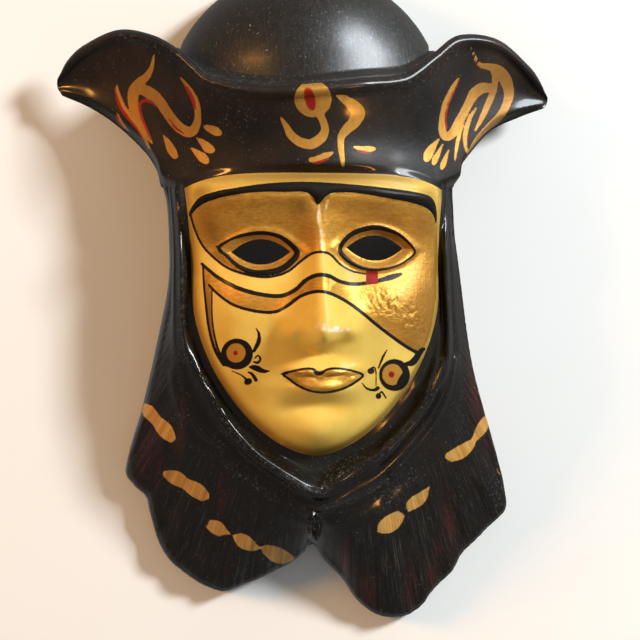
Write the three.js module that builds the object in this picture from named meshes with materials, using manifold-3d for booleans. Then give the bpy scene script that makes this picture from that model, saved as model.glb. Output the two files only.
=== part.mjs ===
import * as THREE from 'three';
import Module from 'manifold-3d';
import { mergeVertices } from 'three/addons/utils/BufferGeometryUtils.js';

// A carnival mask in a tricorn hat and a pleated hood: one moulded sheet of papier-mache.
// It lies face up on its flat back rim. +Y is towards the crown, +Z towards the viewer.
// All sizes are in millimetres.

// The middle of the outline, measured from the point between the eyes that the knots are
// measured from.
const middle = { x: 0.72, y: -0.75 };

// The sheet. Behind carved relief the back lies deeper, down to deepestBack, so that the sheet
// stays as thick.
const wall = 3.2;
const clearance = 3.8;
const mostCover = 4;
const deepestBack = 9;
const deeperStep = 0.4;
const normalPasses = 3;
const backPasses = 2;

// The face: an egg outline below the eyes, nearly straight sides above them.
const faceX = 4;
const faceHalfWidth = 69;
const chinY = -91;
const jawExponent = 1.7;
const foreheadX = 2.5;
const foreheadHalfWidth = 71.5;
const foreheadY = 64;
const templeDrop = 7;
const faceEdgeDrop = 24;
const faceCurve = 0.81;
const faceCurvePower = 2.4;
const cornerPower = 5;
const faceRoll = { depth: 3.5, width: 4 };
const jawShare = 0.4;

// The height of the middle of the face without its nose, as [y, z].
const faceProfile = [
  [-91, 82], [-76, 85], [-60, 84], [-46, 85], [-20, 84], [0, 82], [23, 81], [40, 84], [52, 87],
  [64, 86],
];

// The nose, as [y, rise, half-width]. Its lower edge rises by noseSkew to each side.
const noseProfile = [
  [-35, 0, 16.5], [-32, 4.5, 16.5], [-28.5, 14.5, 16], [-24.5, 23.5, 15.5], [-20.5, 26, 15],
  [-8, 22, 12], [8, 14.5, 8.5], [23, 9, 7], [38, 4, 7.5], [48, 0, 9],
];
const noseFlatness = 1.9;
const noseSkew = 0.45;
const noseBridge = 2.5;

// The other features: places from the middle of the face, half-widths and heights.
const features = [
  { x: 31, y: 24, wx: 23, wy: 14, rise: -9 },
  { x: 31, y: 23, wx: 15, wy: 9, rise: 4 },
  { x: 30, y: 52, wx: 32, wy: 5.5, rise: 2.5 },
  { x: 43, y: -8, wx: 18, wy: 17, rise: 3 },
  { x: 16, y: -21, wx: 5, wy: 5, rise: 3 },
  { x: 9, y: -42.5, wx: 10, wy: 3.6, rise: 5 },
  { x: 0, y: -52, wx: 15, wy: 5, rise: 7 },
  { x: 0, y: -63, wx: 16, wy: 5, rise: -3.5 },
  { x: 0, y: -77, wx: 15, wy: 9, rise: 4 },
];
const eyeHole = { width: 32, height: 14, cutFrom: 41, cutDepth: 82 };
const eyeCentres = [[-27.5, 21.7], [35, 24]];

// The crown of the hat: part of an ellipsoid dome behind the brim.
const crown = { x: 2, y: 107.5, radius: 82, height: 88, halfSweepDeg: 60.5, wallRun: 7 };

// The brim: a hollow panel with a rolled lip along its top.
const lip = { width: 8, mostShare: 0.35, bead: 3, roll: 4.5, fullHeight: 36 };
const panelPower = 1.3;
const panelHollow = 4;
const footWidth = 5;
const tipBulge = 2;

// The hood: two crests run round the face, and a folded skirt falls from the outer one to the hem.
const valleyDepth = 4;
const troughDepth = 3;
const fullBand = 14;
const hemRoll = 4;
const mostHemRoll = 0.65;
const outerRoll = { station: 7.5, halfStations: 2, rise: 5 };
const fold = { x: 4, y: 80, pitchDeg: 4.3, depth: 3, middle: 0.6, firstStation: 7, lastStation: 29 };
const knot = { x: 4, y: -131.5, wx: 4, wy: 8.5, rise: 5 };

// Knots are [station, x, y, z]. Round the hood the stations run from the left shoulder (0) past
// the left jaw (12), the chin (18) and the right jaw (24) to the right shoulder (36).
const jawStation = 12;
const lastStation = 36;
const hemKnots = [
  [0, -81, 60, 22], [1, -79, 52, 4], [2, -78, 36, 0], [4, -78, 8, 0], [6, -84, -25, 0],
  [8, -93, -65, 0], [9.8, -103, -103, 0], [10.4, -98, -112, 0], [10.8, -91, -119, 0],
  [11.1, -89, -128, 0], [12, -83, -147, 0], [13, -73, -160, 0], [15, -49, -174, 0],
  [16, -33, -170, 0], [17, -12, -161, 0], [17.6, -1, -154, 0], [18, 6, -148, 0],
  [18.4, 12, -156, 0], [19, 23, -167, 0], [20, 33, -181, 0], [21, 46, -190, 0],
  [22, 62, -190, 0], [22.6, 71, -184, 0], [23, 76, -177, 0], [24, 89, -164, 0],
  [24.6, 95, -154, 0], [26, 115, -134, 0], [26.6, 121, -126, 0], [27.2, 119, -112, 0],
  [28, 112, -87, 0], [30, 101, -51, 0], [32, 94, -17, 0], [34, 89, 26, 0], [35, 87, 49, 4],
  [36, 86, 61, 22],
];
const innerCrestKnots = [
  [0, -74, 57, 50], [3, -71, 23, 58], [6, -69, -24, 60], [8, -62, -44, 61], [10, -51, -63, 62],
  [12, -37, -82, 63], [15, -18, -98, 64], [18, 5, -111, 66], [21, 23, -98, 64],
  [24, 42, -88, 63], [26, 60, -69, 62], [28, 69, -55, 61], [30, 77, -38, 60], [33, 77, 13, 58],
  [36, 78, 58, 50],
];
const outerCrestKnots = [
  [0, -77, 58, 40], [3, -75, 24, 48], [6, -75, -27, 50], [8, -71, -53, 52], [10, -63, -77, 54],
  [12, -43, -92, 56], [15, -21, -107, 58], [18, 4, -122, 60], [21, 27, -120, 58],
  [24, 46, -103, 56], [26, 63, -84, 54], [28, 77, -65, 52], [30, 84, -39, 50], [33, 82, 13, 48],
  [36, 81, 59, 40],
];

// The skirt's height just inside the hem, as [station, z].
const hemHeight = [
  [0, 34], [3, 36], [6, 28], [9, 17], [12, 14], [24, 14], [27, 17],
  [30, 28], [33, 36], [36, 34],
];

// Along the brim the stations run from the left tip (0) past the left shoulder (4) and the sides
// of the face (6 and 14) to the right shoulder (16) and the right tip (20).
const shoulderStation = 4;
const templeStation = 6;
const brimLastStation = 20;
const brimTopKnots = [
  [0, -140, 123, 26], [0.5, -135, 131.5, 31], [1, -126.5, 139, 36], [2, -106, 146.5, 48],
  [3, -87, 142, 60], [4, -73, 133, 70], [5, -64, 124, 76], [6, -56, 117, 81], [8, -31, 110, 93], [10, -6, 110, 99],
  [12, 25, 114, 95], [14, 48, 118, 84], [15, 58, 124, 78], [16, 69, 133, 70], [17, 85, 144.5, 60],
  [18, 109, 144.3, 48], [19, 129.5, 131.5, 36], [19.5, 136.5, 124, 31], [20, 141, 116, 26],
];
const wingFootKnots = [
  [0, -138, 112, 24], [1, -122, 105, 25], [2, -107, 95, 26], [3, -91, 80, 25],
  [3.5, -84.5, 70, 23.5], [4, -81, 60, 22], [16, 86, 61, 22], [16.5, 88.5, 69.5, 23.5],
  [17, 94.5, 79, 25], [18, 108, 94, 26], [19, 124, 102, 25], [20, 140, 108, 24],
];

// The height at which the panel of the brim starts, as [x, z].
const panelFoot = [
  [-140, 25.5], [-122, 30], [-107, 36.5], [-92, 45], [-81, 52.5], [-69, 61.5], [-33, 80],
  [2.5, 88], [38, 80], [74, 61.5], [86, 52.5], [97, 45], [112, 36.5], [127, 30], [145, 25.5],
];

// How finely each stretch is divided. The counts are even: the back keeps every second point.
const faceColumns = 32;
const faceRows = 36;
const hoodRows = 12;
const wingColumns = 8;
const brimRows = 8;
const crownRows = 10;
const panelRowShare = 0.7;
const wallRowShare = 0.4;
const footCrowding = 1.6;
const hoodColumns = 2 * faceRows + faceColumns;
const brimColumns = 2 * wingColumns + 2 * hoodRows + faceColumns;

const { lerp, clamp, degToRad, radToDeg } = THREE.MathUtils;
const smooth = (t) => THREE.MathUtils.smoothstep(t, 0, 1);
const wave = (t) => Math.sin(Math.PI * t) ** 2;
const denseFoot = (t) => t ** footCrowding;
const denseEnd = (t) => Math.sin((Math.PI * t) / 2);

function bump(x, y, cx, cy, wx, wy) {
  return Math.exp(-(((x - cx) / wx) ** 2) - ((y - cy) / wy) ** 2);
}

// Reads a smooth curve through rows of [station, value, value...] at one station.
function curveAt(rows, station) {
  let k = 0;
  while (k < rows.length - 2 && station > rows[k + 1][0]) k += 1;
  const [a, b] = [rows[k], rows[k + 1]];
  const before = rows[k - 1] ?? a;
  const after = rows[k + 2] ?? b;
  const span = b[0] - a[0];
  const t = clamp((station - a[0]) / span, 0, 1);
  return a.slice(1).map((start, c) => {
    const end = b[c + 1];
    const slopeIn = (span * (end - before[c + 1])) / (b[0] - before[0]);
    const slopeOut = (span * (after[c + 1] - start)) / (after[0] - a[0]);
    return lerp(start, end, smooth(t)) + t * (1 - t) ** 2 * slopeIn - t * t * (1 - t) * slopeOut;
  });
}

// The side of the face above the eyes. up is 0 at eye level and 1 at the top corner.
function templePoint(side, up) {
  const half = lerp(faceHalfWidth, foreheadHalfWidth, up ** 2);
  return new THREE.Vector2(
    lerp(faceX, foreheadX, up ** 2) + side * half,
    up * (foreheadY - templeDrop),
  );
}

// The jaw. across is -1 at the left, 0 at the chin and 1 at the right.
function jawPoint(across) {
  const turn = (Math.abs(across) * Math.PI) / 2;
  const out = faceHalfWidth * Math.sin(turn) ** (2 / jawExponent);
  return new THREE.Vector2(
    faceX + Math.sign(across) * out,
    chinY * Math.cos(turn) ** (2 / jawExponent),
  );
}

// The face's edge from its top left corner, round the chin, to its top right corner.
function makeFaceEdge() {
  const steps = 40;
  const line = [];
  for (let i = steps; i > 0; i -= 1) line.push(templePoint(-1, i / steps));
  for (let i = -steps; i <= steps; i += 1) line.push(jawPoint(i / steps));
  for (let i = 1; i <= steps; i += 1) line.push(templePoint(1, i / steps));
  const edge = new THREE.SplineCurve(line);
  edge.arcLengthDivisions = 1000;
  return edge;
}

const faceEdge = makeFaceEdge();

function foreheadPoint(across) {
  const out = 2 * across - 1;
  return new THREE.Vector2(
    foreheadX + out * foreheadHalfWidth,
    foreheadY - templeDrop * Math.abs(out) ** cornerPower,
  );
}

// The face's plan is blended from its four edges. across and down run from 0 to 1.
function facePlan(across, down) {
  const top = foreheadPoint(across);
  const bottom = faceEdge.getPointAt(lerp(jawShare, 1 - jawShare, across));
  const left = faceEdge.getPointAt(jawShare * down);
  const right = faceEdge.getPointAt(1 - jawShare * down);
  const corners = [foreheadPoint(0), foreheadPoint(1)];
  const jaws = [faceEdge.getPointAt(jawShare), faceEdge.getPointAt(1 - jawShare)];
  const rows = top.lerp(bottom, down);
  const columns = left.lerp(right, across);
  const flat = corners[0].lerp(corners[1], across).lerp(jaws[0].lerp(jaws[1], across), down);
  return rows.add(columns).sub(flat);
}

// 0 on the middle line of the face and 1 on its edge.
function eggRadius(x, y) {
  if (y >= 0) {
    const up = Math.min(y / (foreheadY - templeDrop), 1) ** 2;
    const half = lerp(faceHalfWidth, foreheadHalfWidth, up);
    return Math.abs(x - lerp(faceX, foreheadX, up)) / half;
  }
  const out = Math.abs(x - faceX) / faceHalfWidth;
  return (out ** jawExponent + (y / chinY) ** jawExponent) ** (1 / jawExponent);
}

function noseHeight(x, y) {
  const out = Math.abs(x - faceX);
  const aside = Math.hypot(out, noseBridge) - noseBridge;
  const [rise, half] = curveAt(noseProfile, y - noseSkew * aside);
  return rise * Math.exp(-((out / half) ** noseFlatness));
}

// The face rolls down into a groove all round its edge.
function rollDepth(x, y, egg) {
  const out = Math.min(Math.abs(x - foreheadX) / foreheadHalfWidth, 1);
  const top = foreheadY - templeDrop * out ** cornerPower;
  const fromEdge = Math.min((1 - egg) * faceHalfWidth, top - y);
  return faceRoll.depth * (1 - smooth(fromEdge / faceRoll.width));
}

function faceHeight(x, y) {
  const egg = Math.min(eggRadius(x, y), 1);
  const fall = 1 - Math.sqrt(1 - faceCurve * egg ** faceCurvePower);
  let z = curveAt(faceProfile, y)[0] + noseHeight(x, y) - rollDepth(x, y, egg);
  z -= (faceEdgeDrop * fall) / (1 - Math.sqrt(1 - faceCurve));
  for (const f of features) {
    const sides = f.x === 0 ? [0] : [-f.x, f.x];
    for (const side of sides) z += f.rise * bump(x, y, faceX + side, f.y, f.wx, f.wy);
  }
  return z;
}

// A band between two crests, with a dip between them that is shallower where the band is narrow.
function bandPoint(from, to, t, dip) {
  const width = Math.hypot(to[0] - from[0], to[1] - from[1]);
  return new THREE.Vector3(
    lerp(from[0], to[0], t),
    lerp(from[1], to[1], t),
    lerp(from[2], to[2], smooth(t)) - dip * Math.min(width / fullBand, 1) * wave(t),
  );
}

// The folds of the skirt fan out from a point behind the face.
function foldHeight(x, y, station) {
  const angle = radToDeg(Math.atan2(x - fold.x, fold.y - y));
  const ridge = Math.abs(Math.sin((Math.PI * angle) / fold.pitchDeg)) - fold.middle;
  const begin = smooth(station - fold.firstStation);
  return fold.depth * ridge * begin * smooth(fold.lastStation - station);
}

// The skirt. t runs from 0 on the outer crest to 1 on the hem, which is rolled over to the back.
function skirtPoint(station, t, from, to) {
  const run = Math.hypot(to[0] - from[0], to[1] - from[1]);
  const rollShare = Math.min(mostHemRoll, hemRoll / run);
  const down = Math.min(2 * t, 1);
  const turn = (Math.max(2 * t - 1, 0) * Math.PI) / 2;
  const out = (1 - rollShare) * down + rollShare * Math.sin(turn);
  const x = lerp(from[0], to[0], out);
  const y = lerp(from[1], to[1], out);
  const aside = Math.min(station, lastStation - station) - outerRoll.station;
  let z = lerp(from[2], curveAt(hemHeight, station)[0], down);
  z += outerRoll.rise * wave(down / 2) * Math.exp(-((aside / outerRoll.halfStations) ** 2));
  z += foldHeight(x, y, station) * smooth(down);
  z += knot.rise * bump(x, y, knot.x, knot.y, knot.wx, knot.wy);
  return new THREE.Vector3(x, y, lerp(Math.max(to[2], 0), z, Math.cos(turn)));
}

// The hood across its width. across is 0 on the face's edge and 1 on the hem.
function hoodPoint(station, across, edge) {
  const inner = curveAt(innerCrestKnots, station);
  const outer = curveAt(outerCrestKnots, station);
  if (across <= 0.25) return bandPoint(edge.toArray(), inner, across * 4, valleyDepth);
  if (across <= 0.5) return bandPoint(inner, outer, across * 4 - 1, troughDepth);
  return skirtPoint(station, across * 2 - 1, outer, curveAt(hemKnots, station));
}

// The brim. row runs from 0 at its foot over the panel to 1 at its top, the outside of the lip.
function brimPoint(station, row, low) {
  const [topX, topY, topZ] = curveAt(brimTopKnots, station);
  const [foot] = curveAt(panelFoot, low.x);
  const height = Math.hypot(topX - low.x, topY - low.y);
  const lipShare = Math.min(lip.width / height, lip.mostShare);
  const panelUp = denseFoot(Math.min(row / panelRowShare, 1));
  const over = Math.max((row - panelRowShare) / (1 - panelRowShare), 0);
  const up = (1 - lipShare) * panelUp + lipShare * over;
  const panel = lerp(foot, topZ, up ** panelPower) - panelHollow * wave(up);
  const full = smooth(height / lip.fullHeight);
  const rolled = full * lip.bead * Math.sin(Math.PI * over) - lerp(0.5, 1, full) * lip.roll * over ** 3;
  const footing = (low.z - foot) * (1 - smooth((up * height) / footWidth));
  const fromTip = Math.min(station, brimLastStation - station);
  const bulge = tipBulge * Math.sin(Math.PI * up) * Math.max(0, 1 - fromTip);
  return new THREE.Vector3(
    lerp(low.x, topX, up) + Math.sign(station - shoulderStation) * bulge,
    lerp(low.y, topY, up),
    panel + rolled + footing,
  );
}

function domeHeight(x, y) {
  const out = Math.hypot(x - crown.x, y - crown.y) / crown.radius;
  return crown.height * Math.sqrt(Math.max(0, 1 - out * out));
}

// The crown. row runs from 0 on the brim's lip, down the wall behind it, to 1 on the back rim.
function crownPoint(station, row, top) {
  const share = (station - shoulderStation) / (brimLastStation - 2 * shoulderStation);
  const angle = degToRad(90 + crown.halfSweepDeg * (1 - 2 * share));
  const rimX = crown.x + crown.radius * Math.cos(angle);
  const rimY = crown.y + crown.radius * Math.sin(angle);
  const length = Math.hypot(rimX - top.x, rimY - top.y);
  const wallShare = Math.min(crown.wallRun / length, 0.5);
  const down = Math.min(row / wallRowShare, 1);
  const over = Math.max((row - wallRowShare) / (1 - wallRowShare), 0);
  const t = wallShare * down + (1 - wallShare) * denseEnd(over);
  const x = lerp(top.x, rimX, t);
  const y = lerp(top.y, rimY, t);
  const gone = t * length;
  const step = top.z - domeHeight(top.x, top.y);
  return new THREE.Vector3(x, y, domeHeight(x, y) + step * (1 - smooth(gone / crown.wallRun)));
}

// Each stretch of the front is a grid of numbers of points in one shared list.
const points = [];

function addPoint(point) {
  points.push(point);
  return points.length - 1;
}

function makeGrid(columns, rows, numberAt) {
  const grid = [];
  for (let i = 0; i <= columns; i += 1) {
    grid.push([]);
    for (let j = 0; j <= rows; j += 1) grid[i].push(numberAt(i, j, grid));
  }
  return grid;
}

function makeFace() {
  return makeGrid(faceColumns, faceRows, (i, j) => {
    const { x, y } = facePlan(i / faceColumns, j / faceRows);
    return addPoint(new THREE.Vector3(x, y, faceHeight(x, y)));
  });
}

// The number of the face's edge point in a column of the hood.
function faceEdgeNumber(face, column) {
  if (column <= faceRows) return face[0][column];
  if (column <= faceRows + faceColumns) return face[column - faceRows][faceRows];
  return face[faceColumns][hoodColumns - column];
}

function hoodStation(column) {
  if (column <= faceRows) return (jawStation * column) / faceRows;
  if (column >= hoodColumns - faceRows) return lastStation - hoodStation(hoodColumns - column);
  return jawStation + ((column - faceRows) / faceColumns) * (lastStation - 2 * jawStation);
}

function makeHood(face) {
  return makeGrid(hoodColumns, hoodRows, (i, j, grid) => {
    if (j === 0) return faceEdgeNumber(face, i);
    return addPoint(hoodPoint(hoodStation(i), j / hoodRows, points[grid[i][0]]));
  });
}

// The brim's stations over one end of the hood, from its hem to the face's edge. They follow the
// places of the hood's points there.
function shoulderStations(end) {
  const foot = end.map((number) => new THREE.Vector2(points[number].x, points[number].y)).reverse();
  const length = foot[0].distanceTo(foot[hoodRows]);
  return foot.map((p) => lerp(shoulderStation, templeStation, p.distanceTo(foot[0]) / length));
}

// The station of each of the brim's columns.
function makeBrimStations(hood) {
  const wing = Array.from({ length: wingColumns }, (_, i) => (shoulderStation * i) / wingColumns);
  const face = Array.from({ length: faceColumns - 1 }, (_, i) => {
    return lerp(templeStation, brimLastStation - templeStation, (i + 1) / faceColumns);
  });
  const right = [...wing, ...shoulderStations(hood[hoodColumns])];
  const mirrored = right.map((station) => brimLastStation - station).reverse();
  return [...wing, ...shoulderStations(hood[0]), ...face, ...mirrored];
}

// The number of the point that the brim stands on in one of its columns.
function brimFootNumber(face, hood, stations, column) {
  const fromLeft = column - wingColumns;
  const fromRight = brimColumns - wingColumns - column;
  if (fromLeft < 0 || fromRight < 0) {
    return addPoint(new THREE.Vector3(...curveAt(wingFootKnots, stations[column])));
  }
  if (fromLeft <= hoodRows) return hood[0][hoodRows - fromLeft];
  if (fromRight <= hoodRows) return hood[hoodColumns][hoodRows - fromRight];
  return face[fromLeft - hoodRows][0];
}

function makeBrim(face, hood, stations) {
  return makeGrid(brimColumns, brimRows, (i, j, grid) => {
    if (j === 0) return brimFootNumber(face, hood, stations, i);
    return addPoint(brimPoint(stations[i], j / brimRows, points[grid[i][0]]));
  });
}

function makeCrown(brim, stations) {
  return makeGrid(brimColumns - 2 * wingColumns, crownRows, (i, j, grid) => {
    const column = i + wingColumns;
    if (j === 0) return brim[column][brimRows];
    return addPoint(crownPoint(stations[column], j / crownRows, points[grid[i][0]]));
  });
}

// Splits the grid's cells along their shorter diagonals. turned is true where the grid's own
// order runs clockwise seen from the front.
function gridTriangles(grid, step, turned) {
  const triangles = [];
  for (let i = 0; i + step < grid.length; i += step) {
    for (let j = 0; j + step < grid[0].length; j += step) {
      const [a, b] = [grid[i][j], grid[i + step][j]];
      const [d, c] = [grid[i][j + step], grid[i + step][j + step]];
      const [p, q, r, s] = turned ? [a, d, c, b] : [a, b, c, d];
      const short = points[p].distanceTo(points[r]) < points[q].distanceTo(points[s]);
      if (short) triangles.push([p, q, r], [p, r, s]);
      else triangles.push([q, r, s], [q, s, p]);
    }
  }
  return triangles;
}

// The border of the front, anticlockwise seen from the front, starting at the right shoulder.
function makeBorder(hood, brim, dome) {
  const [left, right] = [wingColumns, brimColumns - wingColumns];
  const loop = [];
  for (let i = dome.length - 1; i > 0; i -= 1) loop.push(dome[i][crownRows]);
  for (let j = crownRows; j > 0; j -= 1) loop.push(dome[0][j]);
  for (let i = left; i > 0; i -= 1) loop.push(brim[i][brimRows]);
  for (let j = brimRows; j > 0; j -= 1) loop.push(brim[0][j]);
  for (let i = 0; i < left; i += 1) loop.push(brim[i][0]);
  for (let i = 0; i < hoodColumns; i += 1) loop.push(hood[i][hoodRows]);
  for (let i = right; i < brimColumns; i += 1) loop.push(brim[i][0]);
  for (let j = 0; j < brimRows; j += 1) loop.push(brim[brimColumns][j]);
  for (let i = brimColumns; i > right; i -= 1) loop.push(brim[i][brimRows]);
  for (let j = 0; j < crownRows; j += 1) loop.push(dome[dome.length - 1][j]);
  return loop;
}

// Lists each point's neighbours, and for a point on the border only those along it.
function findNeighbours(triangles, border) {
  const near = points.map(() => new Set());
  for (const [a, b, c] of triangles) {
    near[a].add(b).add(c);
    near[b].add(a).add(c);
    near[c].add(a).add(b);
  }
  border.forEach((number, k) => {
    const last = border[(k + border.length - 1) % border.length];
    near[number] = new Set([last, border[(k + 1) % border.length]]);
  });
  return near;
}

function findNormals(places, triangles) {
  const normals = places.map(() => new THREE.Vector3());
  for (const [a, b, c] of triangles) {
    const across = places[c].clone().sub(places[a]);
    const face = places[b].clone().sub(places[a]).cross(across);
    for (const number of [a, b, c]) normals[number].add(face);
  }
  return normals.map((normal) => normal.normalize());
}

function averageOverNeighbours(vectors, near) {
  return vectors.map((vector, number) => {
    const sum = vector.clone();
    for (const other of near[number]) sum.add(vectors[other]);
    return sum.divideScalar(near[number].size + 1);
  });
}

// How far the back lies behind one place, so that it keeps clear of every point of the front.
function backDepth(place, normal, neighbours) {
  const below = neighbours.map((other) => place.clone().sub(points[other]).dot(normal));
  let depth = wall + clamp(Math.max(...below), 0, mostCover);
  const clear = (point) => place.clone().addScaledVector(normal, -depth).distanceTo(point) >= clearance;
  while (depth < deepestBack && !points.every(clear)) depth += deeperStep;
  return depth;
}

// The back follows the front, smoothed. Nothing reaches below the back rim, where the sheet is
// turned in to a wider foot.
function makeBack(triangles, border) {
  const near = findNeighbours(triangles, border);
  const places = averageOverNeighbours(points, near);
  let normals = findNormals(places, triangles);
  for (let pass = 0; pass < normalPasses; pass += 1) {
    normals = averageOverNeighbours(normals, near).map((normal) => normal.normalize());
  }
  const depths = places.map((place, number) => {
    return backDepth(place, normals[number], [...near[number]]);
  });
  for (const number of border) near[number].clear();
  let backs = places.map((place, number) => {
    if (near[number].size === 0) {
      const depth = place.z > hemRoll ? wall : depths[number];
      return place.clone().addScaledVector(normals[number], -depth);
    }
    const around = [...near[number]].map((other) => depths[other]);
    const average = around.reduce((sum, depth) => sum + depth, 0) / around.length;
    return place.clone().addScaledVector(normals[number], -Math.max(average, depths[number]));
  });
  for (let pass = 0; pass < backPasses; pass += 1) backs = averageOverNeighbours(backs, near);
  for (const back of backs) back.z = Math.max(back.z, 0);
  return backs;
}

function makeGeometry(places, triangles) {
  const flat = new THREE.BufferGeometry();
  const corners = triangles.flat().flatMap((number) => places[number].toArray());
  flat.setAttribute('position', new THREE.Float32BufferAttribute(corners, 3));
  return mergeVertices(flat, 1e-4);
}

function makeShell() {
  const face = makeFace();
  const hood = makeHood(face);
  const stations = makeBrimStations(hood);
  const brim = makeBrim(face, hood, stations);
  const dome = makeCrown(brim, stations);
  const stretches = [[face, true], [hood, true], [brim, false], [dome, false]];
  const front = stretches.flatMap(([grid, turned]) => gridTriangles(grid, 1, turned));
  const coarse = stretches.flatMap(([grid, turned]) => gridTriangles(grid, 2, turned));
  const border = makeBorder(hood, brim, dome);
  const count = points.length;
  const places = [...points, ...makeBack(front, border)];
  const back = coarse.map(([a, b, c]) => [a + count, c + count, b + count]);
  const rim = [];
  for (let k = 0; k < border.length; k += 2) {
    const [p, q, r] = [border[k], border[k + 1], border[(k + 2) % border.length]];
    rim.push([q, p, p + count], [q, p + count, r + count], [r, q, r + count]);
  }
  return makeGeometry(places, [...front, ...back, ...rim]);
}

// An almond prism that runs through the sheet at one eye.
function makeEyeCutter([x, y]) {
  const [half, bow] = [eyeHole.width / 2, eyeHole.height];
  const almond = new THREE.Shape();
  almond.moveTo(-half, 0);
  almond.quadraticCurveTo(0, -bow, half, 0);
  almond.quadraticCurveTo(0, bow, -half, 0);
  const cutter = new THREE.ExtrudeGeometry(almond, {
    depth: eyeHole.cutDepth,
    bevelEnabled: false,
    curveSegments: 8,
  });
  cutter.translate(x, y, eyeHole.cutFrom);
  return cutter;
}

const wasm = await Module();
wasm.setup();

function toSolid(geometry) {
  const bare = geometry.clone();
  bare.deleteAttribute('normal');
  bare.deleteAttribute('uv');
  const merged = mergeVertices(bare, 1e-4);
  const vertProperties = new Float32Array(merged.getAttribute('position').array);
  const triVerts = new Uint32Array(merged.index.array);
  return new wasm.Manifold(new wasm.Mesh({ numProp: 3, vertProperties, triVerts }));
}

function fromSolid(solid) {
  const mesh = solid.getMesh();
  const geometry = new THREE.BufferGeometry();
  geometry.setAttribute('position', new THREE.BufferAttribute(mesh.vertProperties, 3));
  geometry.setIndex(new THREE.BufferAttribute(mesh.triVerts, 1));
  geometry.computeVertexNormals();
  return geometry;
}

function makeMask() {
  let solid = toSolid(makeShell());
  for (const centre of eyeCentres) solid = solid.subtract(toSolid(makeEyeCutter(centre)));
  const lacquer = new THREE.MeshStandardMaterial({ color: 0x16130f, roughness: 0.25, metalness: 0 });
  const mask = new THREE.Mesh(fromSolid(solid).translate(-middle.x, -middle.y, 0), lacquer);
  mask.name = 'mask_shell';
  return mask;
}

const group = new THREE.Group();
group.add(makeMask());

export default group;
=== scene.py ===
import math

import bmesh
import bpy
import numpy as np
from mathutils import Euler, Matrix, Vector, kdtree, noise


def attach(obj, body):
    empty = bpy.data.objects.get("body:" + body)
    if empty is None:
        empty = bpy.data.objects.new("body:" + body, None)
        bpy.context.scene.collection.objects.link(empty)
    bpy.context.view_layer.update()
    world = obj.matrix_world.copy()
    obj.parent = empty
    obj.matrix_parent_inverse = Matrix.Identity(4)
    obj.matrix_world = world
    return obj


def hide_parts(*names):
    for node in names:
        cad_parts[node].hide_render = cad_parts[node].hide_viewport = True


# A carnival mask in a tricorn hat and a pleated hood, lying face up on a pale floor.
# The surface is worked out in millimetres from the point between the eyes, with +Y towards the
# crown and +Z towards the viewer, and is moved to the frame's origin at the end.
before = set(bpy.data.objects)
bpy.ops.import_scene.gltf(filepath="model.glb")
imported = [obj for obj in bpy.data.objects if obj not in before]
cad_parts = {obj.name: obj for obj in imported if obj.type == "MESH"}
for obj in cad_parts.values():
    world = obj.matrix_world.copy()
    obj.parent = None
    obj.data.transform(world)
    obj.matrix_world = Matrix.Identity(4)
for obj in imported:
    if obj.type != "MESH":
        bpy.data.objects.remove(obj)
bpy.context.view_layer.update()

MM = 0.001
# A distance that is past all others, and a length to divide by instead of 0.
FAR = 1e3
TINY = 1e-9
MIDDLE = np.array([0.72, -0.75, 0.0])

# The sheet of papier-mache.
WALL = 3.2
CLEARANCE = 3.8
MOST_COVER = 4.0
DEEPEST_BACK = 9.0
DEEPER_STEP = 0.4
NORMAL_PASSES = 3
BACK_PASSES = 2

# The face.
FACE_X = 4.0
FACE_HALF_WIDTH = 69.0
CHIN_Y = -91.0
JAW_EXPONENT = 1.7
FOREHEAD_X = 2.5
FOREHEAD_HALF_WIDTH = 71.5
FOREHEAD_Y = 64.0
TEMPLE_DROP = 7.0
FACE_EDGE_DROP = 24.0
FACE_CURVE = 0.81
FACE_CURVE_POWER = 2.4
CORNER_POWER = 5
ROLL_DEPTH = 3.5
ROLL_WIDTH = 4.0
JAW_SHARE = 0.4
# Down the face: y and height.
FACE_PROFILE = [
    (-91, 82), (-76, 85), (-60, 84), (-46, 85), (-20, 84), (0, 82), (23, 81), (40, 84), (52, 87),
    (64, 86),
]
# Down the nose: y, rise and half-width.
NOSE_PROFILE = [
    (-35, 0, 16.5), (-32, 4.5, 16.5), (-28.5, 14.5, 16), (-24.5, 23.5, 15.5), (-20.5, 26, 15),
    (-8, 22, 12), (8, 14.5, 8.5), (23, 9, 7), (38, 4, 7.5), (48, 0, 9),
]
NOSE_FLATNESS = 1.9
NOSE_SKEW = 0.45
NOSE_BRIDGE = 2.5
# Features on both sides of the face, or once where the distance from its middle is 0: that
# distance, y, half-widths across and up, and rise.
FEATURES = [
    (31, 24, 23, 14, -9), (31, 23, 15, 9, 4), (30, 52, 32, 5.5, 2.5), (43, -8, 18, 17, 3),
    (16, -21, 5, 5, 3), (9, -42.5, 10, 3.6, 5), (0, -52, 15, 5, 7), (0, -63, 16, 5, -3.5),
    (0, -77, 15, 9, 4),
]
EYE_HALF_WIDTH = 16.0
EYE_HALF_HEIGHT = 7.0
EYE_CENTRES = [(-27.5, 21.7), (35.0, 24.0)]

# The crown, the brim and its lip.
CROWN_X, CROWN_Y = 2.0, 107.5
CROWN_RADIUS = 82.0
CROWN_HEIGHT = 88.0
CROWN_HALF_SWEEP = math.radians(60.5)
CROWN_WALL_RUN = 7.0
LIP_WIDTH = 8.0
LIP_MOST_SHARE = 0.35
LIP_BEAD = 3.0
LIP_ROLL = 4.5
LIP_FULL_HEIGHT = 36.0
PANEL_POWER = 1.3
PANEL_HOLLOW = 4.0
FOOT_WIDTH = 5.0
TIP_BULGE = 2.0

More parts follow.
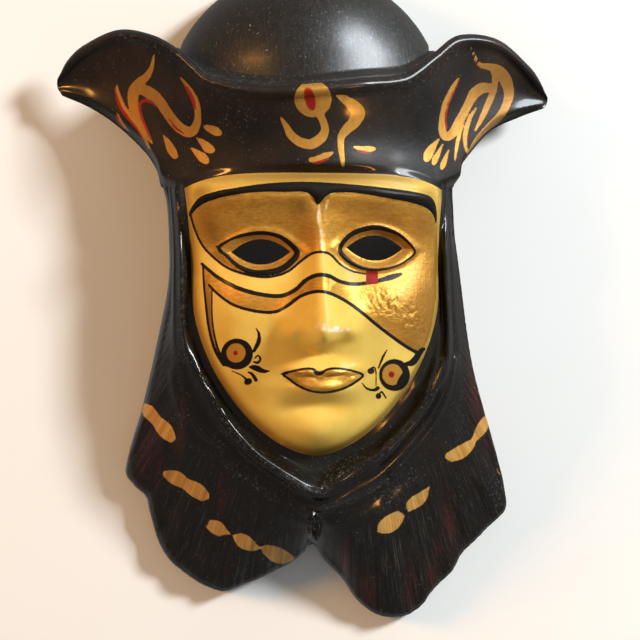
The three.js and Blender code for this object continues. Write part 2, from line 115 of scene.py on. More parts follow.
# The hood and its folds.
VALLEY_DEPTH = 4.0
TROUGH_DEPTH = 3.0
FULL_BAND = 14.0
HEM_ROLL = 4.0
MOST_HEM_ROLL = 0.65
OUTER_ROLL = {"station": 7.5, "half": 2.0, "rise": 5.0}
FOLD_X, FOLD_Y = 4.0, 80.0
FOLD_PITCH = 4.3
FOLD_DEPTH = 3.0
FOLD_MIDDLE = 0.6
FOLD_FIRST, FOLD_LAST = 7.0, 29.0
KNOT = (4.0, -131.5, 4.0, 8.5, 5.0)

# The share of the hood's rows, from the face out, where its inner and its outer crest are.
INNER_CREST_AT = 0.25
OUTER_CREST_AT = 0.5

# Stations count round the hood from temple to temple, and along the brim from tip to tip.
JAW_STATION = 12
LAST_STATION = 36
SHOULDER_STATION = 4
TEMPLE_STATION = 6
BRIM_LAST_STATION = 20
# Rows of knots are a station and x, y and height there.
HEM_KNOTS = [
    (0, -81, 60, 22), (1, -79, 52, 4), (2, -78, 36, 0), (4, -78, 8, 0), (6, -84, -25, 0),
    (8, -93, -65, 0), (9.8, -103, -103, 0), (10.4, -98, -112, 0), (10.8, -91, -119, 0),
    (11.1, -89, -128, 0), (12, -83, -147, 0), (13, -73, -160, 0), (15, -49, -174, 0),
    (16, -33, -170, 0), (17, -12, -161, 0), (17.6, -1, -154, 0), (18, 6, -148, 0),
    (18.4, 12, -156, 0), (19, 23, -167, 0), (20, 33, -181, 0), (21, 46, -190, 0),
    (22, 62, -190, 0), (22.6, 71, -184, 0), (23, 76, -177, 0), (24, 89, -164, 0),
    (24.6, 95, -154, 0), (26, 115, -134, 0), (26.6, 121, -126, 0), (27.2, 119, -112, 0),
    (28, 112, -87, 0), (30, 101, -51, 0), (32, 94, -17, 0), (34, 89, 26, 0), (35, 87, 49, 4),
    (36, 86, 61, 22),
]
INNER_CREST_KNOTS = [
    (0, -74, 57, 50), (3, -71, 23, 58), (6, -69, -24, 60), (8, -62, -44, 61), (10, -51, -63, 62),
    (12, -37, -82, 63), (15, -18, -98, 64), (18, 5, -111, 66), (21, 23, -98, 64),
    (24, 42, -88, 63), (26, 60, -69, 62), (28, 69, -55, 61), (30, 77, -38, 60), (33, 77, 13, 58),
    (36, 78, 58, 50),
]
OUTER_CREST_KNOTS = [
    (0, -77, 58, 40), (3, -75, 24, 48), (6, -75, -27, 50), (8, -71, -53, 52), (10, -63, -77, 54),
    (12, -43, -92, 56), (15, -21, -107, 58), (18, 4, -122, 60), (21, 27, -120, 58),
    (24, 46, -103, 56), (26, 63, -84, 54), (28, 77, -65, 52), (30, 84, -39, 50), (33, 82, 13, 48),
    (36, 81, 59, 40),
]
# The hem's height before it rolls down, by station, and the height of the panel's foot, by x.
HEM_HEIGHT = [
    (0, 34), (3, 36), (6, 28), (9, 17), (12, 14), (24, 14), (27, 17), (30, 28), (33, 36), (36, 34),
]
PANEL_FOOT = [
    (-140, 25.5), (-122, 30), (-107, 36.5), (-92, 45), (-81, 52.5), (-69, 61.5), (-33, 80),
    (2.5, 88), (38, 80), (74, 61.5), (86, 52.5), (97, 45), (112, 36.5), (127, 30), (145, 25.5),
]
BRIM_TOP_KNOTS = [
    (0, -140, 123, 26), (0.5, -135, 131.5, 31), (1, -126.5, 139, 36), (2, -106, 146.5, 48),
    (3, -87, 142, 60), (4, -73, 133, 70), (5, -64, 124, 76), (6, -56, 117, 81), (8, -31, 110, 93),
    (10, -6, 110, 99), (12, 25, 114, 95), (14, 48, 118, 84), (15, 58, 124, 78), (16, 69, 133, 70),
    (17, 85, 144.5, 60), (18, 109, 144.3, 48), (19, 129.5, 131.5, 36), (19.5, 136.5, 124, 31),
    (20, 141, 116, 26),
]
WING_FOOT_KNOTS = [
    (0, -138, 112, 24), (1, -122, 105, 25), (2, -107, 95, 26), (3, -91, 80, 25),
    (3.5, -84.5, 70, 23.5), (4, -81, 60, 22), (16, 86, 61, 22), (16.5, 88.5, 69.5, 23.5),
    (17, 94.5, 79, 25), (18, 108, 94, 26), (19, 124, 102, 25), (20, 140, 108, 24),
]

# How finely each stretch is divided: the plain surface that the back is made from, and how many
# times finer the front is.
PLAIN = {
    "face_columns": 32, "face_rows": 36, "hood_rows": 12, "wing": 8, "brim_rows": 8, "crown_rows": 10,
}
FINER = {
    "face_columns": 6, "face_rows": 4, "hood_rows": 5, "wing": 4, "brim_rows": 5, "crown_rows": 2,
}
PANEL_ROW_SHARE = 0.7
WALL_ROW_SHARE = 0.4
FOOT_CROWDING = 1.6

# How far from a painted line's edge the front is made finer, in mm.
LINE_REACH = 1.1

# The camera of the photograph, in mm, and the photograph's size in pixels.
PHOTO_SIZE = 640
YAW = math.radians(-5)
DISTANCE = 900.0
MM_PER_PIXEL = 0.56
AIM = np.array([6.704, -15.417, 50.0])
SENSOR = 36.0
LENS = SENSOR * DISTANCE / MM_PER_PIXEL / PHOTO_SIZE
CAMERA_RIGHT = np.array([math.cos(YAW), 0, -math.sin(YAW)])
CAMERA_UP = np.array([0.0, 1.0, 0.0])
CAMERA_BACK = np.array([math.sin(YAW), 0, math.cos(YAW)])
CAMERA_PLACE = AIM + DISTANCE * CAMERA_BACK


def smooth(t):
    """From 0 to 1 with level ends."""
    t = np.clip(t, 0, 1)
    return t * t * (3 - 2 * t)


def wave(t):
    """0 at both ends and 1 half-way."""
    return np.sin(np.pi * t) ** 2


def lerp(a, b, t):
    return a + (b - a) * t


def bump(x, y, cx, cy, wx, wy):
    return np.exp(-(((x - cx) / wx) ** 2) - ((y - cy) / wy) ** 2)


def curve_at(rows, station):
    """Reads a smooth curve through rows of (station, value, ...). Returns one row a station."""
    table = np.array(rows, float)
    station = np.atleast_1d(np.asarray(station, float))
    last = len(table) - 2
    k = np.minimum(np.searchsorted(table[1:, 0], station, side="left"), last)
    a, b = table[k], table[k + 1]
    before = table[np.maximum(k - 1, 0)]
    after = np.where((k < last)[:, None], table[np.minimum(k + 2, last + 1)], b)
    span = b[:, :1] - a[:, :1]
    t = np.clip((station[:, None] - a[:, :1]) / span, 0, 1)
    slope_in = span * (b[:, 1:] - before[:, 1:]) / (b[:, :1] - before[:, :1])
    slope_out = span * (after[:, 1:] - a[:, 1:]) / (after[:, :1] - a[:, :1])
    value = lerp(a[:, 1:], b[:, 1:], smooth(t))
    return value + t * (1 - t) ** 2 * slope_in - t * t * (1 - t) * slope_out


def temple_point(side, up):
    half = lerp(FACE_HALF_WIDTH, FOREHEAD_HALF_WIDTH, up**2)
    return lerp(FACE_X, FOREHEAD_X, up**2) + side * half, up * (FOREHEAD_Y - TEMPLE_DROP)


def jaw_point(across):
    turn = abs(across) * math.pi / 2
    out = FACE_HALF_WIDTH * math.sin(turn) ** (2 / JAW_EXPONENT)
    return FACE_X + math.copysign(out, across), CHIN_Y * max(math.cos(turn), 0) ** (2 / JAW_EXPONENT)


EDGE_STEPS = 400


def make_face_edge():
    """The face's outline from temple to temple, and each point's share of its length."""
    steps = EDGE_STEPS
    line = [temple_point(-1, i / steps) for i in range(steps, 0, -1)]
    line += [jaw_point(i / steps) for i in range(-steps, steps + 1)]
    line += [temple_point(1, i / steps) for i in range(1, steps + 1)]
    line = np.array(line)
    gone = np.r_[0, np.cumsum(np.hypot(*np.diff(line, axis=0).T))]
    return line, gone / gone[-1]


EDGE_LINE, EDGE_SHARE = make_face_edge()


def edge_at(share):
    share = np.asarray(share, float)
    return np.stack([np.interp(share, EDGE_SHARE, EDGE_LINE[:, c]) for c in (0, 1)], -1)


def forehead_at(across):
    out = 2 * np.asarray(across, float) - 1
    return np.stack([
        FOREHEAD_X + out * FOREHEAD_HALF_WIDTH,
        FOREHEAD_Y - TEMPLE_DROP * np.abs(out) ** CORNER_POWER,
    ], -1)


def face_plan(across, down):
    """The face's plan, blended from its four edges."""
    top = forehead_at(across)
    bottom = edge_at(lerp(JAW_SHARE, 1 - JAW_SHARE, across))
    left = edge_at(JAW_SHARE * down)
    right = edge_at(1 - JAW_SHARE * down)
    s, t = across[..., None], down[..., None]
    high = lerp(forehead_at(0.0), forehead_at(1.0), s)
    low = lerp(edge_at(JAW_SHARE), edge_at(1 - JAW_SHARE), s)
    return lerp(top, bottom, t) + lerp(left, right, s) - lerp(high, low, t)


def egg_radius(x, y):
    up = np.clip(y / (FOREHEAD_Y - TEMPLE_DROP), 0, 1) ** 2
    half = lerp(FACE_HALF_WIDTH, FOREHEAD_HALF_WIDTH, up)
    above = np.abs(x - lerp(FACE_X, FOREHEAD_X, up)) / half
    out = np.abs(x - FACE_X) / FACE_HALF_WIDTH
    down = np.maximum(y / CHIN_Y, 0)
    below = (out**JAW_EXPONENT + down**JAW_EXPONENT) ** (1 / JAW_EXPONENT)
    return np.where(y >= 0, above, below)


def face_height(x, y):
    egg = np.minimum(egg_radius(x, y), 1)
    fall = 1 - np.sqrt(1 - FACE_CURVE * egg**FACE_CURVE_POWER)
    aside = np.hypot(x - FACE_X, NOSE_BRIDGE) - NOSE_BRIDGE
    nose = curve_at(NOSE_PROFILE, (y - NOSE_SKEW * aside).ravel())
    rise, half = nose[:, 0].reshape(y.shape), nose[:, 1].reshape(y.shape)
    out = np.minimum(np.abs(x - FOREHEAD_X) / FOREHEAD_HALF_WIDTH, 1)
    top = FOREHEAD_Y - TEMPLE_DROP * out**CORNER_POWER
    from_edge = np.minimum((1 - egg) * FACE_HALF_WIDTH, top - y)
    z = curve_at(FACE_PROFILE, y.ravel())[:, 0].reshape(y.shape)
    z = z + rise * np.exp(-(np.abs((x - FACE_X) / half) ** NOSE_FLATNESS))
    z = z - ROLL_DEPTH * (1 - smooth(from_edge / ROLL_WIDTH))
    z = z - FACE_EDGE_DROP * fall / (1 - math.sqrt(1 - FACE_CURVE))
    for fx, fy, wx, wy, height in FEATURES:
        for side in ([0] if fx == 0 else [-fx, fx]):
            z = z + height * bump(x, y, FACE_X + side, fy, wx, wy)
    return z


def band(start, end, t, dip):
    """A band between two crests. start and end have one point a column, and t one value a row."""
    t = t[None, :, None]
    start, end = start[:, None], end[:, None]
    width = np.hypot(*(end - start)[..., :2].transpose(2, 0, 1))
    place = lerp(start, end, t)
    hollow = dip * np.minimum(width / FULL_BAND, 1) * wave(t[..., 0])
    place[..., 2] = lerp(start[..., 2], end[..., 2], smooth(t[..., 0])) - hollow
    return place


def fan_angle(x, y):
    """The direction, in degrees, from the point that the folds of the skirt fan out from."""
    return np.degrees(np.arctan2(x - FOLD_X, FOLD_Y - y))


def skirt(station, t, start, end):
    """The hood outside its outer crest: it falls over the outer roll, and its hem rolls down."""
    start, end = start[:, None], end[:, None]
    t = t[None, :]
    run = np.hypot(*(end - start)[..., :2].transpose(2, 0, 1))
    roll = np.minimum(MOST_HEM_ROLL, HEM_ROLL / run)
    down = np.minimum(2 * t, 1)
    turn = np.maximum(2 * t - 1, 0) * np.pi / 2
    out = (1 - roll) * down + roll * np.sin(turn)
    x = lerp(start[..., 0], end[..., 0], out)
    y = lerp(start[..., 1], end[..., 1], out)
    aside = np.minimum(station, LAST_STATION - station)[:, None] - OUTER_ROLL["station"]
    z = lerp(start[..., 2], curve_at(HEM_HEIGHT, station), down)
    z = z + OUTER_ROLL["rise"] * wave(down / 2) * np.exp(-((aside / OUTER_ROLL["half"]) ** 2))
    ridge = np.abs(np.sin(np.pi * fan_angle(x, y) / FOLD_PITCH)) - FOLD_MIDDLE
    begin = smooth(station - FOLD_FIRST) * smooth(FOLD_LAST - station)
    z = z + FOLD_DEPTH * ridge * begin[:, None] * smooth(down)
    z = z + KNOT[4] * bump(x, y, *KNOT[:4])
    z = lerp(np.maximum(end[..., 2], 0), z, np.cos(turn))
    return np.stack([x, y, z], -1)


def hood_places(station, rows, edge):
    """The hood's rows from the face's edge to the hem, without the first."""
    inner = curve_at(INNER_CREST_KNOTS, station)
    outer = curve_at(OUTER_CREST_KNOTS, station)
    across = np.arange(1, rows + 1) / rows
    valley = across[across <= INNER_CREST_AT] / INNER_CREST_AT
    trough = across[(across > INNER_CREST_AT) & (across <= OUTER_CREST_AT)] - INNER_CREST_AT
    rest = (across[across > OUTER_CREST_AT] - OUTER_CREST_AT) / (1 - OUTER_CREST_AT)
    return np.concatenate([
        band(edge, inner, valley, VALLEY_DEPTH),
        band(inner, outer, trough / (OUTER_CREST_AT - INNER_CREST_AT), TROUGH_DEPTH),
        skirt(station, rest, outer, curve_at(HEM_KNOTS, station)),
    ], 1)


def brim_places(station, rows, low):
    """The brim's rows from its foot to the outside of its lip, without the first."""
    row = np.arange(1, rows + 1)[None] / rows
    top = curve_at(BRIM_TOP_KNOTS, station)[:, None]
    foot = curve_at(PANEL_FOOT, low[:, 0])
    low = low[:, None]
    height = np.hypot(*(top - low)[..., :2].transpose(2, 0, 1))
    lip = np.minimum(LIP_WIDTH / height, LIP_MOST_SHARE)
    panel_up = np.minimum(row / PANEL_ROW_SHARE, 1) ** FOOT_CROWDING
    over = np.maximum((row - PANEL_ROW_SHARE) / (1 - PANEL_ROW_SHARE), 0)
    up = (1 - lip) * panel_up + lip * over
    panel = lerp(foot, top[..., 2], up**PANEL_POWER) - PANEL_HOLLOW * wave(up)
    full = smooth(height / LIP_FULL_HEIGHT)
    rolled = full * LIP_BEAD * np.sin(np.pi * over) - lerp(0.5, 1, full) * LIP_ROLL * over**3
    footing = (low[..., 2] - foot) * (1 - smooth(up * height / FOOT_WIDTH))
    from_tip = np.minimum(station, BRIM_LAST_STATION - station)
    side = np.sign(station - SHOULDER_STATION) * np.maximum(0, 1 - from_tip)
    return np.stack([
        lerp(low[..., 0], top[..., 0], up) + TIP_BULGE * np.sin(np.pi * up) * side[:, None],
        lerp(low[..., 1], top[..., 1], up),
        panel + rolled + footing,
    ], -1)


def dome_height(x, y):
    out = np.hypot(x - CROWN_X, y - CROWN_Y) / CROWN_RADIUS
    return CROWN_HEIGHT * np.sqrt(np.maximum(0, 1 - out * out))


def crown_places(station, rows, top):
    """The crown's rows from the brim's lip to the back rim, without the first."""
    row = np.arange(1, rows + 1)[None] / rows
    share = (station - SHOULDER_STATION) / (BRIM_LAST_STATION - 2 * SHOULDER_STATION)
    angle = math.pi / 2 + CROWN_HALF_SWEEP * (1 - 2 * share)
    rim = np.array([CROWN_X, CROWN_Y]) + CROWN_RADIUS * np.stack([np.cos(angle), np.sin(angle)], -1)
    length = np.hypot(*(rim - top[:, :2]).T)[:, None]
    wall = np.minimum(CROWN_WALL_RUN / length, 0.5)
    down = np.minimum(row / WALL_ROW_SHARE, 1)
    over = np.maximum((row - WALL_ROW_SHARE) / (1 - WALL_ROW_SHARE), 0)
    t = wall * down + (1 - wall) * np.sin(np.pi * over / 2)
    x = lerp(top[:, None, 0], rim[:, None, 0], t)
    y = lerp(top[:, None, 1], rim[:, None, 1], t)
    step = (top[:, 2] - dome_height(top[:, 0], top[:, 1]))[:, None]
    return np.stack([x, y, dome_height(x, y) + step * (1 - smooth(t * length / CROWN_WALL_RUN))], -1)


def shoulder_stations(foot):
    """The brim's stations over one end of the hood, from its hem to the face's edge."""
    gone = np.hypot(*(foot - foot[0])[:, :2].T)
    return lerp(SHOULDER_STATION, TEMPLE_STATION, gone / gone[-1])


def make_front(counts):
    """The front's points, and a grid of point numbers for each stretch."""
    fc, fr, hr = counts["face_columns"], counts["face_rows"], counts["hood_rows"]
    wing, br, cr = counts["wing"], counts["brim_rows"], counts["crown_rows"]
    blocks = []

    def add(places):
        start = sum(len(block) for block in blocks)
        blocks.append(places.reshape(-1, 3))
        return start + np.arange(places.shape[0] * places.shape[1]).reshape(places.shape[:2])

    across, down = np.meshgrid(np.arange(fc + 1) / fc, np.arange(fr + 1) / fr, indexing="ij")
    plan = face_plan(across, down)
    x, y = plan[..., 0], plan[..., 1]
    face = add(np.stack([x, y, face_height(x, y)], -1))
    edge = np.concatenate([face[0], face[1:, -1], face[-1, -2::-1]])

    side = JAW_STATION * np.arange(fr + 1) / fr
    chin = JAW_STATION + np.arange(1, fc) / fc * (LAST_STATION - 2 * JAW_STATION)
    station = np.concatenate([side, chin, LAST_STATION - side[::-1]])
    places = np.concatenate(blocks)
    hood = add(hood_places(station, hr, places[edge]))
    hood = np.concatenate([edge[:, None], hood], 1)

    places = np.concatenate(blocks)
    outer = SHOULDER_STATION * np.arange(wing) / wing
    left, right = shoulder_stations(places[hood[0, ::-1]]), shoulder_stations(places[hood[-1, ::-1]])
    span = BRIM_LAST_STATION - 2 * TEMPLE_STATION
    middle = TEMPLE_STATION + np.arange(1, fc) / fc * span
    station = np.concatenate([outer, left, middle, BRIM_LAST_STATION - np.r_[outer, right][::-1]])
    left_foot = add(curve_at(WING_FOOT_KNOTS, station[:wing])[:, None])[:, 0]
    right_foot = add(curve_at(WING_FOOT_KNOTS, station[-wing:])[:, None])[:, 0]
    foot = np.concatenate([left_foot, hood[0, ::-1], face[1:-1, 0], hood[-1], right_foot])
    places = np.concatenate(blocks)
    brim = add(brim_places(station, br, places[foot]))
    brim = np.concatenate([foot[:, None], brim], 1)

    places = np.concatenate(blocks)
    top = brim[wing : len(brim) - wing, -1]
    crown = add(crown_places(station[wing : len(brim) - wing], cr, places[top]))
    crown = np.concatenate([top[:, None], crown], 1)
    return np.concatenate(blocks), {"face": face, "hood": hood, "brim": brim, "crown": crown}


def make_border(grids, counts):
    """The stretches of the front's border, anticlockwise seen from the front, each without its end."""
    hood, brim, crown = grids["hood"], grids["brim"], grids["crown"]
    wing, end = counts["wing"], len(brim) - 1
    jaw, chin = counts["face_rows"], counts["face_rows"] + counts["face_columns"]
    near, far = counts["hood_rows"], counts["hood_rows"] + counts["face_columns"]
    return [
        crown[:far:-1, -1], crown[far:near:-1, -1], crown[near:0:-1, -1], crown[0, :0:-1],
        brim[wing:0:-1, -1], brim[0, :0:-1], brim[:wing, 0],
        hood[:jaw, -1], hood[jaw:chin, -1], hood[chin:-1, -1],
        brim[end - wing : end, 0], brim[end, :-1], brim[end : end - wing : -1, -1], crown[-1, :-1],
    ]


def cells(grid, step=1):
    """The corners of the grid's cells, in the grid's own order."""
    g = grid[::step, ::step]
    return np.stack([g[:-1, :-1], g[1:, :-1], g[1:, 1:], g[:-1, 1:]], -1).reshape(-1, 4)


def cut_cells(places, quads):
    """Cuts each cell along its shorter diagonal."""
    one = np.linalg.norm(places[quads[:, 0]] - places[quads[:, 2]], axis=1)
    other = np.linalg.norm(places[quads[:, 1]] - places[quads[:, 3]], axis=1)
    turned = np.where((one < other)[:, None], quads, np.roll(quads, -1, 1))
    return np.concatenate([turned[:, [0, 1, 2]], turned[:, [0, 2, 3]]])


TURNED = {"face": True, "hood": True, "brim": False, "crown": False}


def stretch_faces(places, grids, name, step=1):
    quads = cells(grids[name], step)
    if TURNED[name]:
        quads = quads[:, ::-1]
    return cut_cells(places, quads)


def unit(vectors):
    return vectors / np.maximum(np.linalg.norm(vectors, axis=-1, keepdims=True), TINY)


def point_normals(places, triangles):
    a, b, c = (places[triangles[:, k]] for k in range(3))
    face = np.cross(b - a, c - a)
    normals = np.zeros_like(places)
    for k in range(3):
        np.add.at(normals, triangles[:, k], face)
    return unit(normals)


def make_back():
    """The inside of the sheet: the plain front, smoothed and pushed back to a full thickness."""
    points, grids = make_front(PLAIN)
    triangles = np.concatenate([stretch_faces(points, grids, name) for name in grids])
    border = np.concatenate(make_border(grids, PLAIN))
    on_border = np.zeros(len(points), bool)
    on_border[border] = True
    links = np.sort(np.concatenate([triangles[:, [0, 1]], triangles[:, [1, 2]], triangles[:, [2, 0]]]))
    links = np.unique(links, axis=0)
    inner = links[~on_border[links].any(1)]
    mixed = links[on_border[links].any(1) & ~on_border[links].all(1)]
    inward = np.where(on_border[mixed[:, :1]], mixed[:, ::-1], mixed)
    along = np.stack([border, np.roll(border, -1)], -1)

    def average(values, keep_border=False):
        total, count = values.astype(float).copy(), np.ones(len(values))
        pairs = [(inner[:, 0], inner[:, 1]), (inner[:, 1], inner[:, 0]), (inward[:, 0], inward[:, 1])]
        if not keep_border:
            pairs += [(along[:, 0], along[:, 1]), (along[:, 1], along[:, 0])]
        for into, source in pairs:
            np.add.at(total, into, values[source])
            np.add.at(count, into, 1)
        return total / count.reshape((-1,) + (1,) * (values.ndim - 1))

    places = average(points)
    normals = point_normals(places, triangles)
    for _ in range(NORMAL_PASSES):
        normals = unit(average(normals))
    below = np.zeros(len(points))
    for into, source in ((links[:, 0], links[:, 1]), (links[:, 1], links[:, 0])):
        reach = ((places[into] - points[source]) * normals[into]).sum(1)
        np.maximum.at(below, into, reach)
    depth = WALL + np.clip(below, 0, MOST_COVER)
    tree = kdtree.KDTree(len(points))
    for number, place in enumerate(points):
        tree.insert(Vector(place), number)
    tree.balance()
    for number in range(len(points)):
        while depth[number] < DEEPEST_BACK:
            place = places[number] - normals[number] * depth[number]
            if tree.find(Vector(place))[2] >= CLEARANCE:
                break
            depth[number] += DEEPER_STEP
    level = np.maximum(average(depth, keep_border=True), depth)
    edge_depth = np.where(places[:, 2] > HEM_ROLL, WALL, depth)
    level = np.where(on_border, edge_depth, level)
    backs = places - normals * level[:, None]
    for _ in range(BACK_PASSES):
        backs = average(backs, keep_border=True)
    backs[:, 2] = np.maximum(backs[:, 2], 0)
    faces = np.concatenate([stretch_faces(points, grids, name, 2) for name in grids])
    return backs, faces[:, ::-1], make_border(grids, PLAIN)


# The painting. Places are pixels of the photograph, and widths are in pixels too. A stroke's points
# are x, y and half-width.
def picture_place(places):
    """Where a point of the mask shows in the photograph."""
    offset = places - CAMERA_PLACE
    depth = -(offset @ CAMERA_BACK)
    focal = DISTANCE / MM_PER_PIXEL
    return np.stack([
        PHOTO_SIZE / 2 + focal * (offset @ CAMERA_RIGHT) / depth,
        PHOTO_SIZE / 2 - focal * (offset @ CAMERA_UP) / depth,
    ], -1)


STEPS_BETWEEN_POINTS = 6


def flowing(points, closed=False):
    """A smooth line through given points, each with any further values."""
    p = np.array(points, float)
    n = len(p)
    if n < 3:
        return p
    line = []
    for k in range(n if closed else n - 1):
        a, b = p[k], p[(k + 1) % n]
        before = p[k - 1] if closed or k > 0 else a
        after = p[(k + 2) % n] if closed or k + 2 < n else b
        for t in np.arange(STEPS_BETWEEN_POINTS) / STEPS_BETWEEN_POINTS:
            line.append(0.5 * (
                2 * a + (b - before) * t + (2 * before - 5 * a + 4 * b - after) * t * t
                + (3 * a - before - 3 * b + after) * t**3
            ))
    if not closed:
        line.append(p[-1])
    return np.array(line)


def distance_to_line(at, line, widths, closed=False):
    """Distance to a line less its half-width there."""
    ends = np.roll(line, -1, 0) if closed else line[1:]
    starts = line if closed else line[:-1]
    ahead = np.roll(widths, -1) if closed else widths[1:]
    best = np.full(len(at), FAR)
    for a, b, wa, wb in zip(starts, ends, widths, ahead):
        way = b - a
        t = np.clip(((at - a) @ way) / max(way @ way, TINY), 0, 1)
        d = np.hypot(*(at - a - t[:, None] * way).T) - lerp(wa, wb, t)
        np.minimum(best, d, out=best)
    return best


def ellipse_place(at, x, y, rx, ry, turn):
    """Places from an ellipse's middle, in shares of its half-axes. turn is in degrees."""
    a = math.radians(turn)
    dx, dy = at[:, 0] - x, at[:, 1] - y
    return (dx * math.cos(a) + dy * math.sin(a)) / rx, (dy * math.cos(a) - dx * math.sin(a)) / ry


class Layer:
    """Signed distances from painted shapes, in pixels: less than 0 is inside."""

    # Distances from strokes and areas are worked out up to about this far.
    REACH = 30.0

    def __init__(self, at):
        self.at = at
        self.sd = np.full(len(at), self.REACH)

    def near(self, line):
        low, high = line[:, :2].min(0) - self.REACH, line[:, :2].max(0) + self.REACH
        return np.nonzero(((self.at > low) & (self.at < high)).all(1))[0]

    def stroke(self, *points, closed=False):
        """A brush stroke through (x, y, half-width) points."""
        line = flowing(points, closed)
        here = self.near(line)
        d = distance_to_line(self.at[here], line[:, :2], line[:, 2], closed)
        self.sd[here] = np.minimum(self.sd[here], d)

    def strokes(self, *lines):
        for points in lines:
            self.stroke(*points)

    def area(self, *points, cut=False, sharp=False):
        """A filled shape with its outline through (x, y) points, or one that is cut out of the rest."""
        line = np.array(points, float) if sharp else flowing(points, closed=True)
        here = self.near(line)
        d = distance_to_line(self.at[here], line, np.zeros(len(line)), closed=True)
        x, y = self.at[here].T
        inside = np.zeros(len(here), bool)
        for (ax, ay), (bx, by) in zip(line, np.roll(line, -1, 0)):
            crosses = (ay > y) != (by > y)
            height = by - ay if by != ay else TINY
            inside ^= crosses & (x < (bx - ax) * (y - ay) / height + ax)
        d = np.where(inside, -d, d)
        self.sd[here] = np.maximum(self.sd[here], -d) if cut else np.minimum(self.sd[here], d)

    def oval(self, x, y, rx, ry, turn=0.0):
        out = np.hypot(*ellipse_place(self.at, x, y, rx, ry, turn))
        self.sd = np.minimum(self.sd, (out - 1) * min(rx, ry))


# Outlines and lines of the face's painting, some of which the relief follows too.
BROW_TOP = [
    (189, 216), (191, 208), (200, 197), (217, 191), (234, 188), (260, 184), (287, 182), (318, 182),
    (360, 185), (403, 190), (426, 194.5), (433.5, 200), (436.5, 209), (437, 220),
]
BROW_BOTTOM = [
    (435.5, 223), (432.5, 214), (424, 207), (408, 202), (392, 199), (360, 193.5), (338, 192.5),
    (328, 195), (318, 204.5), (312, 196.5), (304, 192), (285, 192), (260, 192), (234, 195), (213, 200),
    (200, 206), (192, 214),
]
LINE_1 = [
    (190, 213), (194, 227), (201, 243), (211, 255), (228, 268), (249, 275), (268, 277), (287, 272),
    (301, 261), (312, 253.5), (323, 252), (331, 255), (340, 264), (352, 271), (367, 274),
]
LINE_2 = [
    (202, 264), (210, 271), (219, 278), (238, 288), (259, 294), (280, 296), (295, 290), (306, 280),
    (318, 275), (329, 276), (339, 281), (352, 284), (367, 283),
]
LINE_3 = [
    (209, 285), (219, 295), (234, 305), (255, 311), (274, 312), (287, 306), (301, 296), (316, 291.5),
    (329, 293), (344, 300), (360, 311), (377, 325), (394, 338), (407, 347), (418, 353),
]
LEFT_EYE_RING = [
    (219, 248), (228, 241), (240, 236), (257, 233), (271, 234), (284, 239), (297, 252), (290, 263),
    (279, 270), (266, 272.5), (252, 272), (238, 266), (227, 256),
]
RIGHT_EYE_RING = [
    (340, 250), (346, 239), (358, 231), (377, 227.5), (396, 233), (408, 242), (415, 252), (407, 260),
    (396, 266), (377, 270), (360, 267), (348, 260),
]
MOUTH = [
    (283, 374), (291, 371.5), (300, 369.5), (308, 368.5), (314, 369.5), (319, 373.5), (325, 370.5),
    (332, 368.5), (343, 369), (353, 371), (363, 375), (357, 381), (347, 387), (335, 391), (322, 392.5),
    (309, 390.5), (298, 385.5), (289, 379),
]


def tapered(points, width, start, end):
    """Adds half-widths that are the same along the middle and taper to start and end."""
    last = len(points) - 1
    share = [k / last for k in range(last + 1)]
    widths = [lerp(end, lerp(start, width, min(1, 4 * t)), min(1, 4 * (1 - t))) for t in share]
    return with_widths(points, widths)


def with_widths(points, widths):
    return [(x, y, w) for (x, y), w in zip(points, widths)]


# Half-widths of the lines round the eye holes, point by point.
LEFT_EYE_WIDTHS = (2.0, 1.4, 1.7, 2.0, 2.0, 2.3, 2.9, 3.2, 3.2, 3.0, 2.6, 2.2, 1.8)
RIGHT_EYE_WIDTHS = (2.2, 2.3, 2.6, 2.5, 1.9, 1.4, 1.2, 1.0, 1.1, 1.5, 1.8, 2.1)


